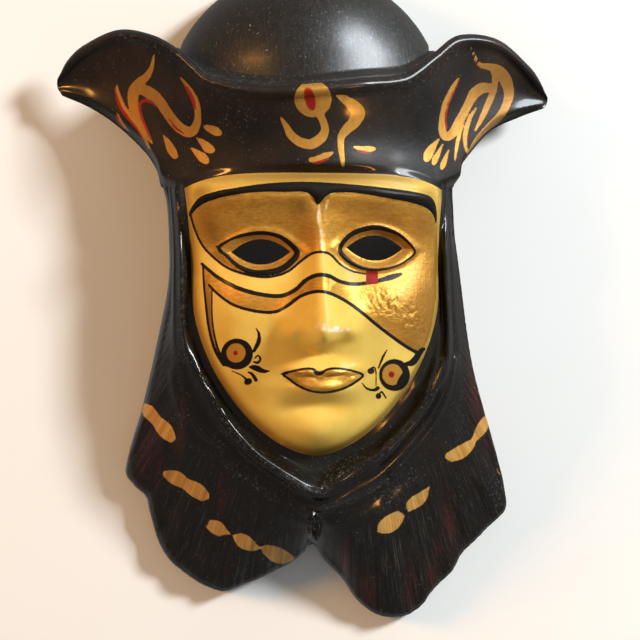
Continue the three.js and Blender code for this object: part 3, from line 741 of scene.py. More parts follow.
def paint_black(at):
    black = Layer(at)
    black.area(*BROW_TOP, *BROW_BOTTOM)
    black.stroke(*with_widths(LEFT_EYE_RING, LEFT_EYE_WIDTHS), closed=True)
    black.stroke(*with_widths(RIGHT_EYE_RING, RIGHT_EYE_WIDTHS), closed=True)
    black.stroke(*with_widths(MOUTH, [1.2] * len(MOUTH)), closed=True)
    black.strokes(
        tapered(LINE_1, 1.3, 1.0, 0.9),
        tapered(LINE_2, 2.1, 1.5, 1.8) + [(381, 280, 2.2), (392, 277, 2.8), (401, 274, 1.4)],
        tapered(LINE_3, 1.7, 1.2, 1.8),
        # The two lines down the left cheek.
        [(203, 266, 1.0), (204, 285, 1.1), (206, 306, 1.2), (209, 329, 1.3), (215, 350, 1.6),
         (224, 364, 2.4)],
        [(212, 289, 0.7), (212, 314, 0.8), (214, 333, 1.0), (219, 352, 1.3), (227, 365, 1.9)],
        # The corners of the left eye and of the mouth, and the dip in the upper lip.
        [(216, 246, 0.7), (220, 249, 1.4)],
        [(281, 374, 0.6), (287, 373, 1.3)],
        [(313, 369, 0.8), (317, 373, 2.2), (321, 373, 2.0), (326, 370, 0.8)],
        # The flourishes beside the left rosette.
        [(256, 328, 0.5), (259, 334, 1.4), (258.5, 342, 2.2), (254, 351, 1.6)],
        [(254, 362, 1.0), (258, 362.5, 1.3), (260.5, 359, 1.1), (258, 355.5, 0.9), (255, 358, 0.8)],
        [(250, 367, 1.2), (256, 368, 3.0), (263, 371, 2.2), (270, 371, 0.5)],
        [(248, 372, 0.7), (252, 374, 1.5), (256, 380, 1.8)],
        [(232, 371, 0.5), (241, 375, 0.8), (247, 380, 1.2)],
        # The flourishes beside the right rosette.
        [(405, 364, 1.6), (413, 362, 3.4), (421, 351, 2.6), (424, 349, 1.5)],
        [(387, 350, 0.5), (383, 357, 1.2), (378.5, 368, 0.8)],
        [(370, 369, 1.0), (374, 367.5, 0.9), (376, 372, 0.7), (376, 386, 0.5)],
        [(362, 383, 0.5), (367, 388.5, 1.0), (374, 390, 1.5), (378, 388, 1.9)],
        [(379, 394, 0.7), (382, 392, 1.0), (386, 398, 0.8)],
    )
    # The rosettes, and the dots beside them.
    for oval in (
        (237, 354, 16, 15.5), (394.5, 375, 15.5, 16), (248, 381.5, 4.2, 3.4, -20), (371, 371, 3.6, 3.2),
        (378.5, 396, 2.8, 3.0),
    ):
        black.oval(*oval)
    return black.sd


def paint_gold(at):
    """The gilding round the eyes and on the right cheek, the mouth, and the hood's dashes."""
    gold = Layer(at)
    gold.area(
        *BROW_BOTTOM, (190, 216), (194, 229), *LINE_1[2:], (379, 275), (384, 277), (379, 281),
        *LINE_2[:-4:-1], (332, 286), *LINE_3[8:14], (416, 353), (424, 349), (431, 330), (436, 297),
        (437, 260), (437, 222), sharp=True,
    )
    gold.area(*LINE_2[:-3], *LINE_3[-7::-1], sharp=True)
    gold.area(
        (203, 265), (212, 289), (212, 314), (214, 333), (219, 352), (227, 366), (220, 363), (213, 347),
        (208, 326), (205, 302), sharp=True,
    )
    gold.area(*MOUTH)
    # Dashes on the hood.
    gold.strokes(
        [(144, 407, 3.6), (149, 412, 6.4), (156, 420, 5.4), (165, 430, 7.4), (171, 438, 4.6)],
        [(166, 474, 3.5), (176, 478, 7.0), (186, 484, 5.5), (196, 490, 7.5), (204, 496, 5.5)],
        [(211, 525, 5.0), (217, 528, 7.0), (223, 532, 4.5), (229, 533, 1.2), (234, 534, 2.0),
         (243, 541, 7.0), (252, 546, 5.0), (260, 548, 1.4), (267, 550, 5.0), (277, 555, 7.8),
         (289, 559, 5.0)],
        [(450, 457, 5.0), (461, 452, 6.5), (470, 445, 4.5), (474, 440, 2.6), (480, 431, 5.0),
         (484, 424, 5.0), (487, 417, 2.4)],
        [(382, 528, 5.6), (389, 524.5, 8.2), (396, 519, 7.0), (401.5, 514, 3.4), (404.5, 511, 2.0),
         (408, 508, 3.6), (414, 503, 5.8), (421, 498, 5.4), (427, 492, 3.4), (431, 487, 1.2)],
    )
    return gold.sd


def paint_ochre(at):
    ochre = Layer(at)
    # The rosettes, the right one with a black comma in it.
    ochre.oval(236, 353, 9.6, 9.6)
    ochre.oval(392.5, 374.5, 10.2, 10.6)
    ochre.area((397, 384), (399.5, 377), (404, 372), (409, 374), (408, 383), (402, 388), cut=True)
    # The left wing's scroll.
    ochre.strokes(
        [(154, 53, 0.5), (152, 66, 2.0), (147, 76, 3.4), (139, 83, 4.6), (134, 91, 5.6),
         (133, 101, 5.2), (135, 111, 4.6), (141, 124, 3.8), (148, 137, 2.3), (152, 143, 0.8)],
        [(136, 87, 4.4), (146, 91, 5.6), (152, 95, 6.0), (160, 102, 5.2), (166, 111, 5.0),
         (174, 122, 5.0), (183, 130, 5.2), (191, 132, 5.0), (196, 126, 4.2), (198, 116, 3.2),
         (196, 103, 3.3), (189, 89, 2.4), (180, 77, 0.6)],
        [(116, 82, 0.6), (118, 93, 1.8), (122.5, 105, 2.2), (130, 116.5, 2.2), (139, 129, 1.9),
         (146, 141, 1.5), (150, 150, 0.7)],
        [(117, 113, 0.6), (123, 125, 1.5), (132, 137, 1.6), (142, 147, 1.3), (149, 154, 0.7)],
        [(163.5, 135.5, 0.8), (168, 143, 3.0), (172, 151, 4.2), (175, 156, 3.0)],
        [(191, 148, 0.7), (197, 153, 3.0), (203, 158, 4.5), (206, 161, 3.2)],
        [(197, 138, 0.7), (203, 143, 3.2), (208, 148, 4.6), (212, 150, 3.0)],
        [(203, 125, 0.7), (208, 128, 2.9), (215, 131, 4.4), (219, 133, 3.0)],
        # The right wing's scroll.
        [(471, 47, 0.5), (475, 57, 1.6), (480, 65, 2.2), (490, 67, 3.6), (499, 71, 5.4),
         (505.5, 80, 6.0), (509, 93, 5.0), (506, 106, 4.2), (499, 117, 3.6), (489, 127, 3.3),
         (478, 139, 2.8), (468.5, 152, 0.9)],
        [(491, 88, 3.4), (483, 88, 5.2), (475, 93, 5.4), (469.5, 102, 4.4), (465, 111, 4.2),
         (459, 122, 4.4), (452, 134, 4.4), (446, 136.5, 4.2), (442.5, 131, 3.8), (442.5, 120, 3.3),
         (445, 106, 3.1), (450, 94, 2.8), (455, 84, 2.0), (459, 78, 0.6)],
        [(493.5, 73, 2.2), (495, 84, 2.9), (492, 95, 3.3), (487, 107, 3.0), (482, 118, 2.6),
         (475, 131, 0.9)],
        [(476.5, 108, 0.8), (471, 116, 1.9), (467, 127, 2.3), (465, 138, 2.2), (466, 148, 1.6),
         (469, 156, 0.7)],
        [(464, 123, 0.8), (460, 133, 1.7), (457, 145, 1.9), (455, 160, 0.7)],
        [(439, 139, 0.7), (433, 147, 3.2), (428.5, 154, 4.6), (427, 159, 3.2)],
        [(443, 144, 0.6), (439, 152, 1.9), (435.5, 159, 3.0), (434, 163, 2.2)],
        [(449, 150, 0.6), (446, 157, 1.9), (443.5, 164, 2.7), (442, 168, 1.8)],
    )
    # The scroll in the middle of the brim.
    ochre.oval(313, 99, 18.6, 18.2)
    ochre.strokes(
        [(319, 113, 4.4), (323, 121, 3.6), (325, 130, 4.0), (321, 138, 5.0), (311, 144, 5.0),
         (300, 142, 4.6), (291, 135, 4.0), (286, 126, 2.8), (281, 118, 1.0)],
        [(337, 96, 1.2), (344, 99, 3.8), (353, 106, 6.0), (358, 113, 7.0), (354, 122, 6.0),
         (346, 130, 4.8), (341, 138, 3.6), (341, 148, 3.0), (342, 157, 2.6), (343, 165, 1.6)],
        [(311, 160, 2.4), (318, 159, 3.2), (325, 156, 3.2), (332, 153, 1.4)],
        [(354, 147, 1.0), (362, 149, 2.6), (369, 149, 3.0), (374, 149, 1.8)],
    )
    return ochre.sd


def paint_red(at):
    red = Layer(at)
    red.oval(235.5, 353, 2.4, 2.4)
    red.oval(391.5, 374.5, 3.0, 3.2)
    red.area((366, 271), (378, 271), (378, 284), (366, 284), sharp=True)
    red.oval(310, 99, 5.4, 12.0, -14)
    red.strokes(
        [(313, 163, 0.8), (320, 162, 1.6), (329, 158, 0.6)],
        [(357, 150, 0.5), (364, 152, 1.6), (371, 153, 0.6)],
        [(151, 141, 0.5), (146, 128, 1.2), (141, 115, 1.4), (139.5, 105, 1.5), (144, 100.5, 1.5),
         (151, 102, 1.4), (158, 108, 0.6)],
        [(167, 116, 0.5), (175, 127, 1.3), (184, 134, 0.7)],
        [(181, 79, 0.6), (187, 88, 1.5), (193, 100, 1.8), (195, 110, 0.8)],
        [(115, 88, 0.6), (117, 98, 1.4), (121, 108, 1.6), (128, 118, 1.5), (137, 129, 1.0),
         (145, 142, 0.5)],
        [(116, 115, 0.5), (122, 127, 1.4), (131, 139, 1.4), (146, 153, 0.6)],
        [(460, 79, 0.5), (454, 91, 0.9), (448, 105, 0.9), (445.5, 118, 1.0), (447, 128, 0.8),
         (451, 127, 0.4)],
        [(472, 50, 0.4), (475, 60, 0.9), (481, 68, 0.5)],
    )
    return red.sd


def paint_chips_and_highlight(at):
    """Where the paint has chipped off the nose's root, and a pale painted highlight on the nose tip."""
    chips_and_highlight = Layer(at)
    # A painted highlight: the pale patch on the nose tip.
    chips_and_highlight.area(
        (314, 324), (322, 323), (330, 326), (343, 327), (350, 330), (338, 332), (324, 331), (316, 328),
    )
    # Chipped paint down the nose's root.
    chips_and_highlight.strokes(
        [(319, 205, 0.5), (319, 213, 1.6), (319.5, 221, 2.2), (321, 230, 1.2), (321.5, 240, 1.3),
         (322, 249, 0.5)],
        [(325.5, 210, 0.2), (326.5, 205, 0.9), (328, 200, 0.3)],
    )
    return chips_and_highlight.sd


# Soft patches, as (x, y, half-width, half-height, turn, strength), in pixels. Strength is 1 where
# it isn't given.
# They are the hood's red-brown tint, the crinkled gilding, painted shade and darker tone on the gilding
# and scrolls, grime with painted shade on the face, and wear with painted highlights on the lacquer.
RED_BROWN = [
    (145, 458, 9, 30, 12), (157, 470, 5, 18, 10), (366, 592, 9, 18, 0), (410, 586, 6, 22, 2),
    (438, 550, 3, 9, 0), (432, 575, 5, 16, 5), (222, 500, 3, 22, 5), (345, 560, 5, 18, 3),
    (180, 440, 4, 26, 4), (470, 560, 6, 18, -4), (478, 400, 8, 40, -10), (448, 520, 6, 26, -6),
]
CRINKLE = [(392, 306, 26, 15, 28), (412, 322, 20, 14, 35)]
# Painted shade where the light falls strongly: the patches on the wings, the middle of the brim and the
# right side of the gilding. The others make the gilding a darker tone.
PAINTED_SHADE_AND_TONE = [
    (500, 95, 42, 60, 20), (160, 105, 60, 50, 0, 0.6), (320, 115, 50, 40, 0, 0.3),
    (207, 310, 6, 42, -4), (212, 232, 9, 22, -20), (422, 300, 40, 78, 8), (410, 345, 22, 16, 30),
    (300, 205, 10, 12, 0), (425, 225, 22, 22, 0), (390, 225, 30, 18, 0),
]
# Grime and painted shade: darker on the forehead strip under the brim, in the corners by the hood and
# under the right eye.
GRIME_AND_SHADE = [
    (313, 176, 140, 9, 0), (200, 192, 14, 8, -35, 0.7), (430, 196, 12, 12, 45, 0.7),
    (370, 260, 26, 12, 0, 0.3),
]
# Wear and painted highlights: bluish scuffs stand in for sheen on the lip of the brim, the crown, the
# hood's ridges and the knot.
WORN_AND_SHEEN = [
    (150, 45, 16, 7, 8), (178, 58, 18, 6, 38), (200, 72, 16, 7, 40), (215, 78, 12, 6, 10),
    (128, 36, 10, 6, 0), (455, 48, 16, 7, -50), (436, 66, 18, 7, -42), (405, 80, 26, 6, -12),
    (345, 84, 30, 5, 0), (270, 82, 26, 5, 0), (240, 70, 18, 30, 20), (350, 40, 50, 40, 0),
    (400, 50, 25, 25, 0), (240, 118, 20, 12, 0), (300, 485, 26, 8, 30), (250, 450, 22, 8, 45),
    (340, 470, 30, 10, -30), (390, 495, 30, 10, -35), (495, 490, 8, 22, 5), (225, 440, 10, 18, 40),
    (470, 300, 4, 80, 0), (182, 300, 5, 110, 0), (314, 527, 6, 14, 0),
]


def soft_patches(at, patches):
    total = np.zeros(len(at))
    for x, y, rx, ry, turn, *strength in patches:
        u, v = ellipse_place(at, x, y, rx, ry, turn)
        total = np.maximum(total, np.exp(-u * u - v * v) * (strength[0] if strength else 1))
    return total


def line_distance(at, points):
    """Distance from a line of the photograph, in millimetres."""
    line = flowing(points)
    return distance_to_line(at, line, np.zeros(len(line))) * MM_PER_PIXEL


def ring_distance(at, points):
    """Distance from a closed outline of the photograph, less than 0 inside, in millimetres."""
    layer = Layer(at)
    layer.area(*points)
    return layer.sd * MM_PER_PIXEL


def eye_distance(x, y):
    """About how far a point is from the nearer eye hole's edge, in millimetres."""
    best = np.full(len(x), FAR)
    for cx, cy in EYE_CENTRES:
        u, v = (x - cx) / EYE_HALF_WIDTH, (y - cy)
        f = np.abs(v) - EYE_HALF_HEIGHT * (1 - u * u)
        slope = np.hypot(1, 2 * EYE_HALF_HEIGHT * u / EYE_HALF_WIDTH)
        best = np.minimum(best, f / slope)
    return best


def waves(places, rise, size, seed):
    """Smooth noise from -rise to rise, with lumps about size mm across."""
    shift = Vector((seed, 2 * seed, 3 * seed))
    return rise * np.array([noise.noise(Vector(p) / size + shift) for p in places])


def ridge(distance, rise, half_width, middle=0.0):
    """A ridge at some distance from a line, or a groove where rise is less than 0."""
    return rise * np.exp(-(((distance - middle) / half_width) ** 2))


def fade(value, start, run):
    """From 0 at start to 1 after run."""
    return smooth((value - start) / run)


# Lines of the photograph that the face's relief follows: the parting of the lips, the lower edge of
# the nose, and the line that closes the area below it.
LIP_PARTING = [
    (284, 375), (300, 375), (313, 377.5), (319, 379), (326, 377.5), (340, 375.5), (361, 376),
]
NOSE_EDGE = [
    (284, 334), (290, 339), (300.5, 341.5), (309, 345), (317, 347), (324, 346), (333, 341.5),
    (345, 340), (353.5, 338.5), (359, 333),
]
BELOW_NOSE = [(361, 340), (352, 350), (338, 358), (322, 364), (306, 358), (294, 349), (284, 341)]
NOSE_END = (322, 345, 27, 40, 0)
# Soft forms of the nose's lower end: a patch, and its rise in mm.
NOSE_FORMS = [
    ((320, 341, 17, 4.5, 0), 1.3), ((293, 334, 7, 5, 0), 1.1), ((351, 333, 7, 5, 0), 1.1),
    ((322, 354, 22, 5, 0), -1.2),
]

# The relief, in mm. Raised shapes have a rise and the width of their shoulder. Ridges and grooves
# have a rise, a half-width and, where it isn't 0, their distance from the line.
BROW_RISE, BROW_SHOULDER = 1.5, 3.2
BROW_GROOVE = (-0.5, 1.1)
EYE_RIM = (1.6, 1.9, 4.6)
EYE_BEVEL = (-1.9, 1.7)
EYE_LINE = (0.7, 1.3)
LIP_RISE, LIP_SHOULDER = 1.1, 2.2
LIP_GROOVE = (-0.35, 1.0, 0.6)
PARTING_GROOVE = (-1.1, 0.9)
NOSE_STEP, NOSE_SHOULDER, NOSE_REACH = 1.9, 1.6, 4.5
CRINKLE_RISE, CRINKLE_LEVEL = 1.3, 0.4
# Waves have a rise, a size and a seed.
CRINKLE_WAVES = [(1.0, 4.6, 4.0), (0.4, 2.2, 7.0)]
FACE_WAVES = (0.18, 9.0, 1.0)
HOOD_WAVES = (0.25, 11.0, 2.0)
HAT_WAVES = (0.3, 16.0, 5.0)


def face_relief(places, at):
    """Relief on the face that is finer than the plain surface."""
    brow = ring_distance(at, BROW_TOP + BROW_BOTTOM)
    z = BROW_RISE * np.sqrt(np.clip(-brow / BROW_SHOULDER, 0, 1)) + ridge(brow, *BROW_GROOVE)
    eye = eye_distance(places[:, 0], places[:, 1])
    z += ridge(eye, *EYE_RIM) + ridge(np.maximum(eye, 0), *EYE_BEVEL)
    rings = [ring_distance(at, ring) for ring in (LEFT_EYE_RING, RIGHT_EYE_RING)]
    z += ridge(np.minimum(*rings), *EYE_LINE)
    mouth = ring_distance(at, MOUTH)
    z += LIP_RISE * smooth(-mouth / LIP_SHOULDER) + ridge(mouth, *LIP_GROOVE)
    z += ridge(line_distance(at, LIP_PARTING), *PARTING_GROOVE)
    below = smooth(0.5 - ring_distance(at, NOSE_EDGE + BELOW_NOSE) / NOSE_SHOULDER)
    step = NOSE_STEP * below * ridge(line_distance(at, NOSE_EDGE), 1.0, NOSE_REACH)
    z -= step * soft_patches(at, [NOSE_END])
    for patch, rise in NOSE_FORMS:
        z += rise * soft_patches(at, [patch])
    folds = sum(waves(places, *each) for each in CRINKLE_WAVES)
    z += soft_patches(at, CRINKLE) * CRINKLE_RISE * (CRINKLE_LEVEL - np.abs(folds))
    return z + waves(places, *FACE_WAVES)


# Lines of the photograph that the hood's relief follows: the crest round the face, rolled ridges
# outside it, small folds, and the loop of the knot.
CREST_LEFT = [
    (205, 380), (214, 402), (227, 424), (240, 439), (256, 456), (275, 469), (294, 480.5), (307, 487),
    (319, 492),
]
CREST_RIGHT = [
    (319, 492), (327, 484), (336, 479), (359, 468), (380, 456), (389, 445), (407, 428), (426, 402),
    (439, 364),
]
ROLLS = [
    [(216, 452), (240, 475), (262, 490), (287, 502), (311, 513)],
    [(321, 511), (340, 505), (366, 494), (392, 478), (412, 458)],
]
KNOT_LOOP = [(313, 516), (310.5, 523), (311, 532), (315, 539), (318, 533), (318.5, 523), (316, 516)]
HIGH_FOLDS = [
    [(171, 372), (174, 392), (182, 413), (190, 428), (199, 440), (210, 448), (222, 455)],
    [(455, 358), (448, 392), (436, 420), (424, 440), (408, 458), (392, 474)],
]
LOW_FOLDS = [
    [(176, 300), (178, 340), (184, 378), (196, 408), (212, 432), (232, 450)],
    [(183, 210), (186, 260), (189, 310), (195, 352), (207, 385), (226, 414)],
    [(444, 230), (443, 280), (440, 330), (432, 368), (418, 396)],
    [(214, 470), (240, 490), (268, 506), (292, 518), (306, 524)],
    [(420, 482), (398, 500), (372, 514), (346, 522), (328, 524)],
]
HOOD_RIDGES = [
    (HIGH_FOLDS, (1.9, 1.8)), (LOW_FOLDS, (1.25, 1.8)),
    ([CREST_LEFT + CREST_RIGHT[1:]], (1.3, 1.9, 1.8)), (ROLLS, (1.4, 1.6)), ([KNOT_LOOP], (6.0, 1.2)),
]
# How far the lacquer wears along some of them, with painted highlights there.
WORN_SHEEN_LINES = [
    (CREST_LEFT, 1.6), (CREST_RIGHT, 0.9), (ROLLS[0], 0.9), (ROLLS[1], 0.6), (KNOT_LOOP, 1.5),
]
WORN_SHEEN_HALF_WIDTH = 1.3

# The pleats fan out below the outer crest. Their pitch is in degrees, and their strength comes from
# waves that are drawn out along them.
PLEATS_FROM, PLEATS_RUN = 0.52, 0.12
PLEAT_PITCH, PLEAT_MIDDLE = 1.09, 0.55
PLEAT_WANDER = (0.35, 40.0, 3.0)
PLEAT_LEAST, PLEAT_MORE = 0.45, 0.7
PLEAT_WAVES = (1.0, 5.0, 9.0)
WAVES_ACROSS_PLEATS, PLEAT_LENGTHENING = 3, 6
# The ribs between the crests run along the hood.
RIBS_FROM, RIBS_RUN = 0.16, 0.08
RIB_RISE = 0.30
RIB_WAVES = (1.0, 3.0, 11.0)
WAVES_ACROSS_RIBS, WAVES_ALONG_RIBS = 60, 0.12
HEM_RUN = 0.08


def hood_relief(places, at, across):
    """Finer folds of the hood: ridges beside the crests, and pleats that fan down to the hem."""
    x, y = places[:, 0], places[:, 1]
    z = np.zeros(len(places))
    for lines, profile in HOOD_RIDGES:
        for line in lines:
            z += ridge(line_distance(at, line), *profile)
    angle = fan_angle(x, y)
    skirted = fade(across, PLEATS_FROM, PLEATS_RUN)
    wander = angle + waves(places, *PLEAT_WANDER)
    pleat = np.abs(np.sin(np.pi * wander / PLEAT_PITCH)) - PLEAT_MIDDLE
    along = np.stack([angle * WAVES_ACROSS_PLEATS, y / PLEAT_LENGTHENING, np.zeros(len(y))], -1)
    strength = PLEAT_LEAST + PLEAT_MORE * np.clip(0.5 + waves(along, *PLEAT_WAVES), 0, 1)
    z += skirted * strength * pleat
    side = (1 - skirted) * fade(across, RIBS_FROM, RIBS_RUN)
    along = np.stack([across * WAVES_ACROSS_RIBS, WAVES_ALONG_RIBS * y, np.zeros(len(y))], -1)
    z += side * RIB_RISE * waves(along, *RIB_WAVES)
    z += waves(places, *HOOD_WAVES)
    return z * fade(1 - across, 0, HEM_RUN)


def rim_faces(loops, back_loops, count):
    """Joins the front's fine border to every second point of the back's border."""
    fine, coarse = np.concatenate(loops), np.concatenate(back_loops) + count
    place, start = [], 0
    for loop, back in zip(loops, back_loops):
        place.append(start + np.arange(len(loop)) * len(back) / len(loop))
        start += len(back)
    place = np.concatenate(place)
    ahead = np.append(place[1:], start)
    middle = (place + ahead) / 2
    pair = (middle // 2).astype(int) * 2
    apex = np.where(middle - pair < 1, pair, (pair + 2) % start)
    fans = np.stack([np.roll(fine, -1), fine, coarse[apex]], -1)
    halfway = fine[np.isclose(place % 2, 1)]
    pairs = np.arange(0, start, 2)
    return np.concatenate([fans, np.stack([halfway, coarse[pairs], coarse[(pairs + 2) % start]], -1)])


MATERIAL_OF = {"face": 0, "hood": 1, "brim": 2, "crown": 3}
# How many times the hood's folds are smoothed, and how much of the hat's waves its lip keeps.
FOLD_SOFTENING = 5
LIP_SHARE = 0.5
# The painting stops this high above the floor. On the hat, above this y, it stops this far below
# the foot of the panel instead.
PAINT_FOOT = 14.0
HAT_Y = 66.0
PAINT_DROP = 9.0
PAINTED_PARTS = {MATERIAL_OF["face"], MATERIAL_OF["brim"]}
RIM_MATERIAL = 1
BACK_MATERIAL = 4


def make_surface():
    """One closed mesh: the carved front, the plain back and the rim between them."""
    counts = {name: PLAIN[name] * FINER[name] for name in PLAIN}
    front, grids = make_front(counts)
    at = picture_place(front)
    across = np.zeros(len(front))
    hood = grids["hood"]
    across[hood] = np.arange(hood.shape[1])[None] / (hood.shape[1] - 1)
    face = np.unique(grids["face"])
    folds = np.setdiff1d(hood, face)
    hat = np.setdiff1d(np.union1d(grids["brim"], grids["crown"]), np.union1d(hood, face))
    for _ in range(FOLD_SOFTENING):
        z = front[hood, 2]
        front[hood[:, 1:-1], 2] = (z[:, :-2] + 2 * z[:, 1:-1] + z[:, 2:]) / 4
    lift = np.zeros(len(front))
    lift[face] = face_relief(front[face], at[face])
    lift[folds] = hood_relief(front[folds], at[folds], across[folds])
    lift[hat] = waves(front[hat], *HAT_WAVES)
    lift[grids["brim"][:, 0]] = 0
    lift[grids["brim"][:, -1]] *= LIP_SHARE
    lift[grids["crown"][:, -1]] = 0
    front[:, 2] += lift
    front[:, 2] = np.maximum(front[:, 2], 0)

    backs, back_faces, back_loops = make_back()
    faces, material = [], []
    for name in grids:
        part = stretch_faces(front, grids, name)
        faces.append(part)
        material.append(np.full(len(part), MATERIAL_OF[name]))
    rim = rim_faces(make_border(grids, counts), back_loops, len(front))
    faces += [rim, back_faces + len(front)]
    material += [np.full(len(rim), RIM_MATERIAL), np.full(len(back_faces), BACK_MATERIAL)]
    places = np.concatenate([front, backs])
    faces = np.concatenate(faces)
    used, faces = np.unique(faces, return_inverse=True)
    across = np.concatenate([across, np.zeros(len(backs))])
    return places[used], faces.reshape(-1, 3), np.concatenate(material), across[used]


def set_attribute(mesh, name, values):
    layer = mesh.attributes.new(name, "FLOAT", "POINT")
    layer.data.foreach_set("value", np.asarray(values, np.float32))


def get_places(mesh):
    flat = np.empty(len(mesh.vertices) * 3, np.float32)
    mesh.vertices.foreach_get("co", flat)
    return flat.reshape(-1, 3).astype(float)


def link_object(name, mesh):
    piece = bpy.data.objects.new(name, mesh)
    bpy.context.scene.collection.objects.link(piece)
    return piece


# How finely the eye holes are divided, and the heights that they are cut between.
EYE_STEPS = 24
CUTTER_BOTTOM, CUTTER_TOP = 41.0, 123.0


def make_eye_cutter(centre, material):
    """An almond prism through the sheet."""
    u = np.linspace(-1, 1, EYE_STEPS + 1)
    upper = np.stack([EYE_HALF_WIDTH * u, EYE_HALF_HEIGHT * (1 - u * u)], -1)
    ring = np.concatenate([upper, -upper[1:-1]]) + np.array(centre)
    n = len(ring)
    order = np.arange(n)
    places = np.concatenate([np.c_[ring, np.full(n, z)] for z in (CUTTER_BOTTOM, CUTTER_TOP)])
    walls = [(k, k + n, (k + 1) % n + n, (k + 1) % n) for k in order]
    ends = [order.tolist(), (order[::-1] + n).tolist()]
    mesh = bpy.data.meshes.new("eye_cutter")
    mesh.from_pydata(((places - MIDDLE) * MM).tolist(), [], walls + ends)
    mesh.materials.append(material)
    return link_object("eye_cutter", mesh)


def refine_lines(mesh):
    """Halves the edges along the edges of the painting, so that fine lines keep their shapes."""
    at = picture_place(get_places(mesh) / MM + MIDDLE)
    black, ochre, red = (
        np.abs(paint(at)) * MM_PER_PIXEL < LINE_REACH for paint in (paint_black, paint_ochre, paint_red)
    )
    scrolls = ochre | red
    fine = bmesh.new()
    fine.from_mesh(mesh)
    chosen = []
    for edge in fine.edges:
        parts = {face.material_index for face in edge.link_faces}
        near = black if parts == {MATERIAL_OF["face"]} else scrolls
        if parts <= PAINTED_PARTS and all(near[v.index] for v in edge.verts):
            chosen.append(edge)
    bmesh.ops.subdivide_edges(fine, edges=chosen, cuts=1, use_grid_fill=True)
    bmesh.ops.triangulate(fine, faces=[f for f in fine.faces if len(f.verts) > 3])
    fine.to_mesh(mesh)
    fine.free()


# Where the face gets darker towards its edge, with grime and painted shade in its groove, as a share
# of its radius, and the angle from which an edge is shaded as a sharp one.
GRIME_SHADE_FROM, GRIME_SHADE_RUN = 0.9, 0.1
SHARP_ANGLE = math.radians(55)


def make_mask(materials):
    """The mask's mesh, with its eye holes and with the painting stored on its points."""
    places, faces, material, across = make_surface()
    mesh = bpy.data.meshes.new("mask")
    mesh.from_pydata(((places - MIDDLE) * MM).tolist(), [], faces.tolist())
    for each in materials:
        mesh.materials.append(each)
    mesh.polygons.foreach_set("material_index", material.astype(np.int32))
    set_attribute(mesh, "across", across)
    mask = link_object("mask", mesh)
    cutters = [make_eye_cutter(centre, materials[0]) for centre in EYE_CENTRES]
    for cutter in cutters:
        cut = mask.modifiers.new("eye", "BOOLEAN")
        cut.operation = "DIFFERENCE"
        cut.solver = "EXACT"
        cut.object = cutter
    depsgraph = bpy.context.evaluated_depsgraph_get()
    done = bpy.data.meshes.new_from_object(mask.evaluated_get(depsgraph))
    mask.modifiers.clear()
    mask.data = done
    for cutter in cutters:
        bpy.data.objects.remove(cutter)
    refine_lines(done)
    places = get_places(done) / MM + MIDDLE
    at = picture_place(places)
    hat_foot = curve_at(PANEL_FOOT, places[:, 0])[:, 0] - PAINT_DROP
    foot = np.where(places[:, 1] > HAT_Y, hat_foot, PAINT_FOOT)
    for name, layer in (
        ("black_line", paint_black), ("gold_paint", paint_gold), ("ochre_paint", paint_ochre),
        ("red_paint", paint_red), ("chip", paint_chips_and_highlight),
    ):
        set_attribute(done, name, np.maximum(layer(at) * MM_PER_PIXEL, foot - places[:, 2]))
    set_attribute(done, "red_brown", soft_patches(at, RED_BROWN))
    set_attribute(done, "fan", fan_angle(places[:, 0], places[:, 1]))
    set_attribute(done, "crinkle", soft_patches(at, CRINKLE))
    # Painted shade, and darker tone of the paint.
    set_attribute(done, "shade", soft_patches(at, PAINTED_SHADE_AND_TONE))
    # Wear and painted highlights along the crests, the rolls and the knot.
    worn = [ridge(line_distance(at, line), wear, WORN_SHEEN_HALF_WIDTH) for line, wear in WORN_SHEEN_LINES]
    set_attribute(done, "worn", np.max([soft_patches(at, WORN_AND_SHEEN), *worn], axis=0))
    # Grime and painted shade towards the face's edge and under the brim.
    edge = fade(egg_radius(places[:, 0], places[:, 1]), GRIME_SHADE_FROM, GRIME_SHADE_RUN)
    set_attribute(done, "grime", np.maximum(edge, soft_patches(at, GRIME_AND_SHADE)))
    done.shade_smooth()
    done.set_sharp_from_angle(angle=SHARP_ANGLE)
    return mask


